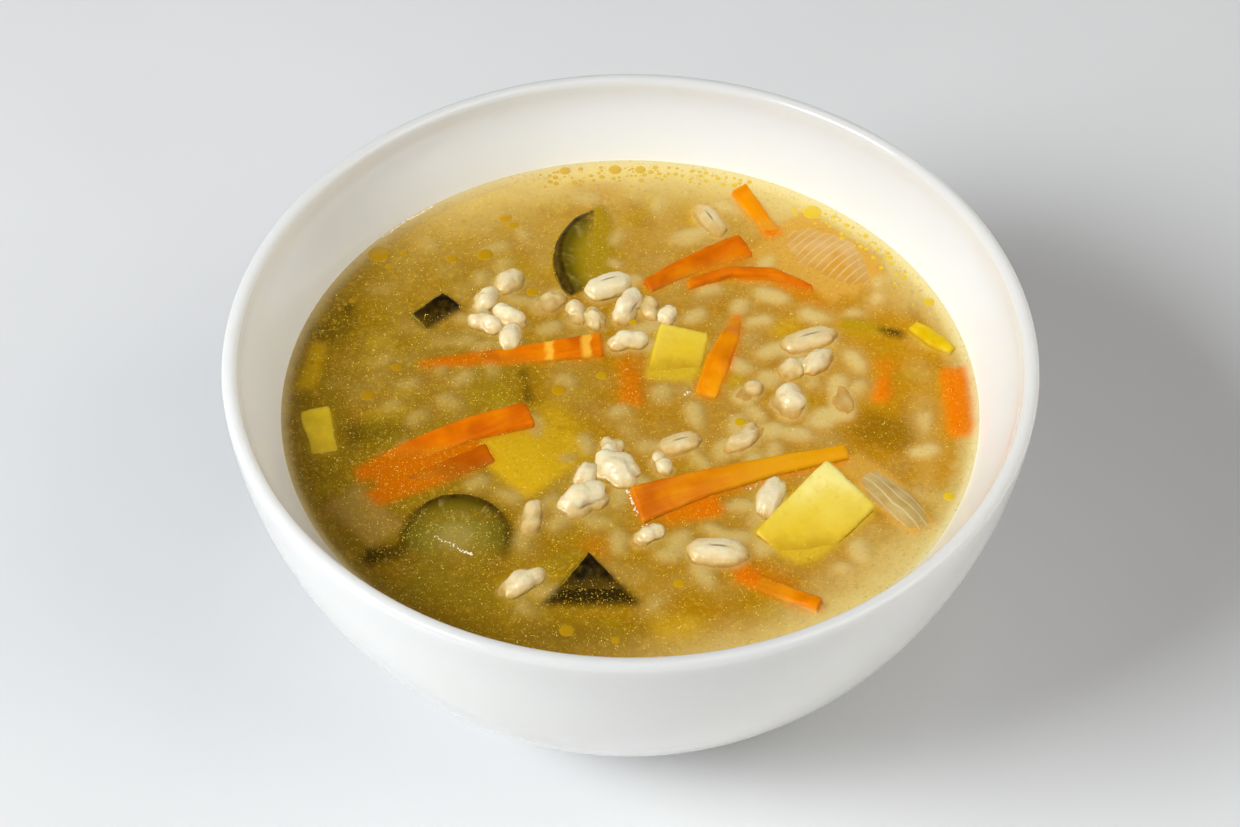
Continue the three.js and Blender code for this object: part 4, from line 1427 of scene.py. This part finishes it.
# %% Froth and painted glints
# Rows of start, end, count, width and strewn. The first three rows are froth at cut ends; the rest are
# painted highlights: two along the round slice's waterline, three on grains and two along the meniscus at the
# back left wall.
FROTH = [
    ((-0.5, -20.4), (1.2, -26), 24, 0.5, 0.6), ((9.4, 1.4), (10.4, 2), 5, 0.45, 0.5),
    ((28.2, -45.4), (29.6, -45.9), 4, 0.45, 0.6), ((-33, -30.5), (-28.2, -34), 22, 0.32, 0.6),
    ((-28.4, -33.8), (-26.4, -34.8), 12, 0.5, 0.4), ((-12.2, -24.6), (-9.6, -23.2), 6, 0.4, 0.8),
    ((1.8, -28.8), (3.4, -28.2), 6, 0.4, 0.8), ((19.6, -20.6), (21.4, -19.4), 6, 0.4, 0.7),
    ((-45.1, 40.2), (-40.9, 44.4), 16, 0.4, 0.2), ((-40.6, 44.6), (-36.2, 48.3), 14, 0.5, 0.2),
]


def froth_rows():
    """Bubbles and painted glint beads along each line from one end to the other, strewn to both sides."""
    made = []
    for (x1, y1), (x2, y2), count, width, strewn in FROTH:
        for i in range(count):
            t = (i + 0.5) / count
            x = x1 + (x2 - x1) * t + draw.uniform(-0.5, 0.5) * strewn
            y = y1 + (y2 - y1) * t + draw.uniform(-0.5, 0.5) * strewn
            inwards = SOUP_RADIUS + WALL_REACH - math.hypot(x, y)
            rise = MENISCUS_RISE * max(0, 1 - inwards / MENISCUS_WIDTH) ** 3
            made.append((x, y, SOUP_LEVEL + rise - 0.03, width * draw.uniform(0.5, 1)))
    return made


def wet_froth():
    """White thin films of froth, the same white for the painted glints, under a sharp highlight."""
    material, tree, output, place = new_material("wet_froth")
    tone = ramp(tree, noise(tree, place, 0.8, 1), (0.3, "#ffe8bc"), (0.7, "#fffaee"))
    shader = add(tree, "BsdfPrincipled", {"Roughness": 0.08, "Specular IOR Level": 1}, {"Base Color": tone})
    tree.links.new(shader.outputs[0], output.inputs[0])
    return material


bubble_model = lens_model("bubble", 14, 8)
froth = joined_lenses("froth", bubble_model, froth_rows(), 0.5)
bpy.data.objects.remove(bubble_model)
settle(froth, wet_froth(), "broth", angle=80)
lie_in_haze(froth)

# %% [markdown]
# ## Floor and light
# A pale, slightly cool table top, one large soft light from the left that leaves a broad shadow at
# the right, and an even room light that keeps the shadow grey and not black.

# %% Floor
FLOOR_SIZE = 4000


def pale_table():
    """Smooth pale laminate with a hardly visible mottle."""
    material, tree, output, place = new_material("pale_table")
    tone = ramp(tree, noise(tree, place, 60, 2), (0.3, "#e9e9ec"), (0.7, "#ececef"))
    shader = add(tree, "BsdfPrincipled", {"Roughness": 0.6}, {"Base Color": tone})
    tree.links.new(shader.outputs[0], output.inputs[0])
    return material


bpy.ops.object.select_all(action="DESELECT")
bpy.ops.mesh.primitive_plane_add(size=FLOOR_SIZE * MM)
floor = bpy.context.object
floor.name = "floor"
floor.data.materials.append(pale_table())

# %% Lights
KEY_PLACE = (-900, -450, 880)
KEY_SIZE = 540
KEY_POWER = 16.2
RIGHT_PLACE = (1500, -400, 1300)
RIGHT_SIZE = 1500
RIGHT_POWER = 11
HIGH_PLACE = (800, -300, 2000)
HIGH_SIZE = 1300
HIGH_POWER = 7
ROOM_LIGHT = 0.1


def soft_light(name, place_mm, size_mm, power, colour):
    """A square light that faces the middle of the soup."""
    data = bpy.data.lights.new(name, "AREA")
    data.size = size_mm * MM
    data.energy = power
    data.color = linear(colour)[:3]
    light = bpy.data.objects.new(name, data)
    light.location = Vector(place_mm) * MM
    aim = Vector((0, 0, SOUP_LEVEL * MM)) - light.location
    light.rotation_euler = aim.to_track_quat("-Z", "Y").to_euler()
    scene.collection.objects.link(light)
    return light


soft_light("key", KEY_PLACE, KEY_SIZE, KEY_POWER, "#fbfffe")
soft_light("right_fill", RIGHT_PLACE, RIGHT_SIZE, RIGHT_POWER, "#fffdec")
soft_light("high_fill", HIGH_PLACE, HIGH_SIZE, HIGH_POWER, "#ffffff")
world = bpy.data.worlds.new("room")
world.use_nodes = True
world.node_tree.nodes["Background"].inputs[0].default_value = linear("#f4f1fa")
world.node_tree.nodes["Background"].inputs[1].default_value = ROOM_LIGHT
scene.world = world
scene.view_settings.view_transform = "Standard"
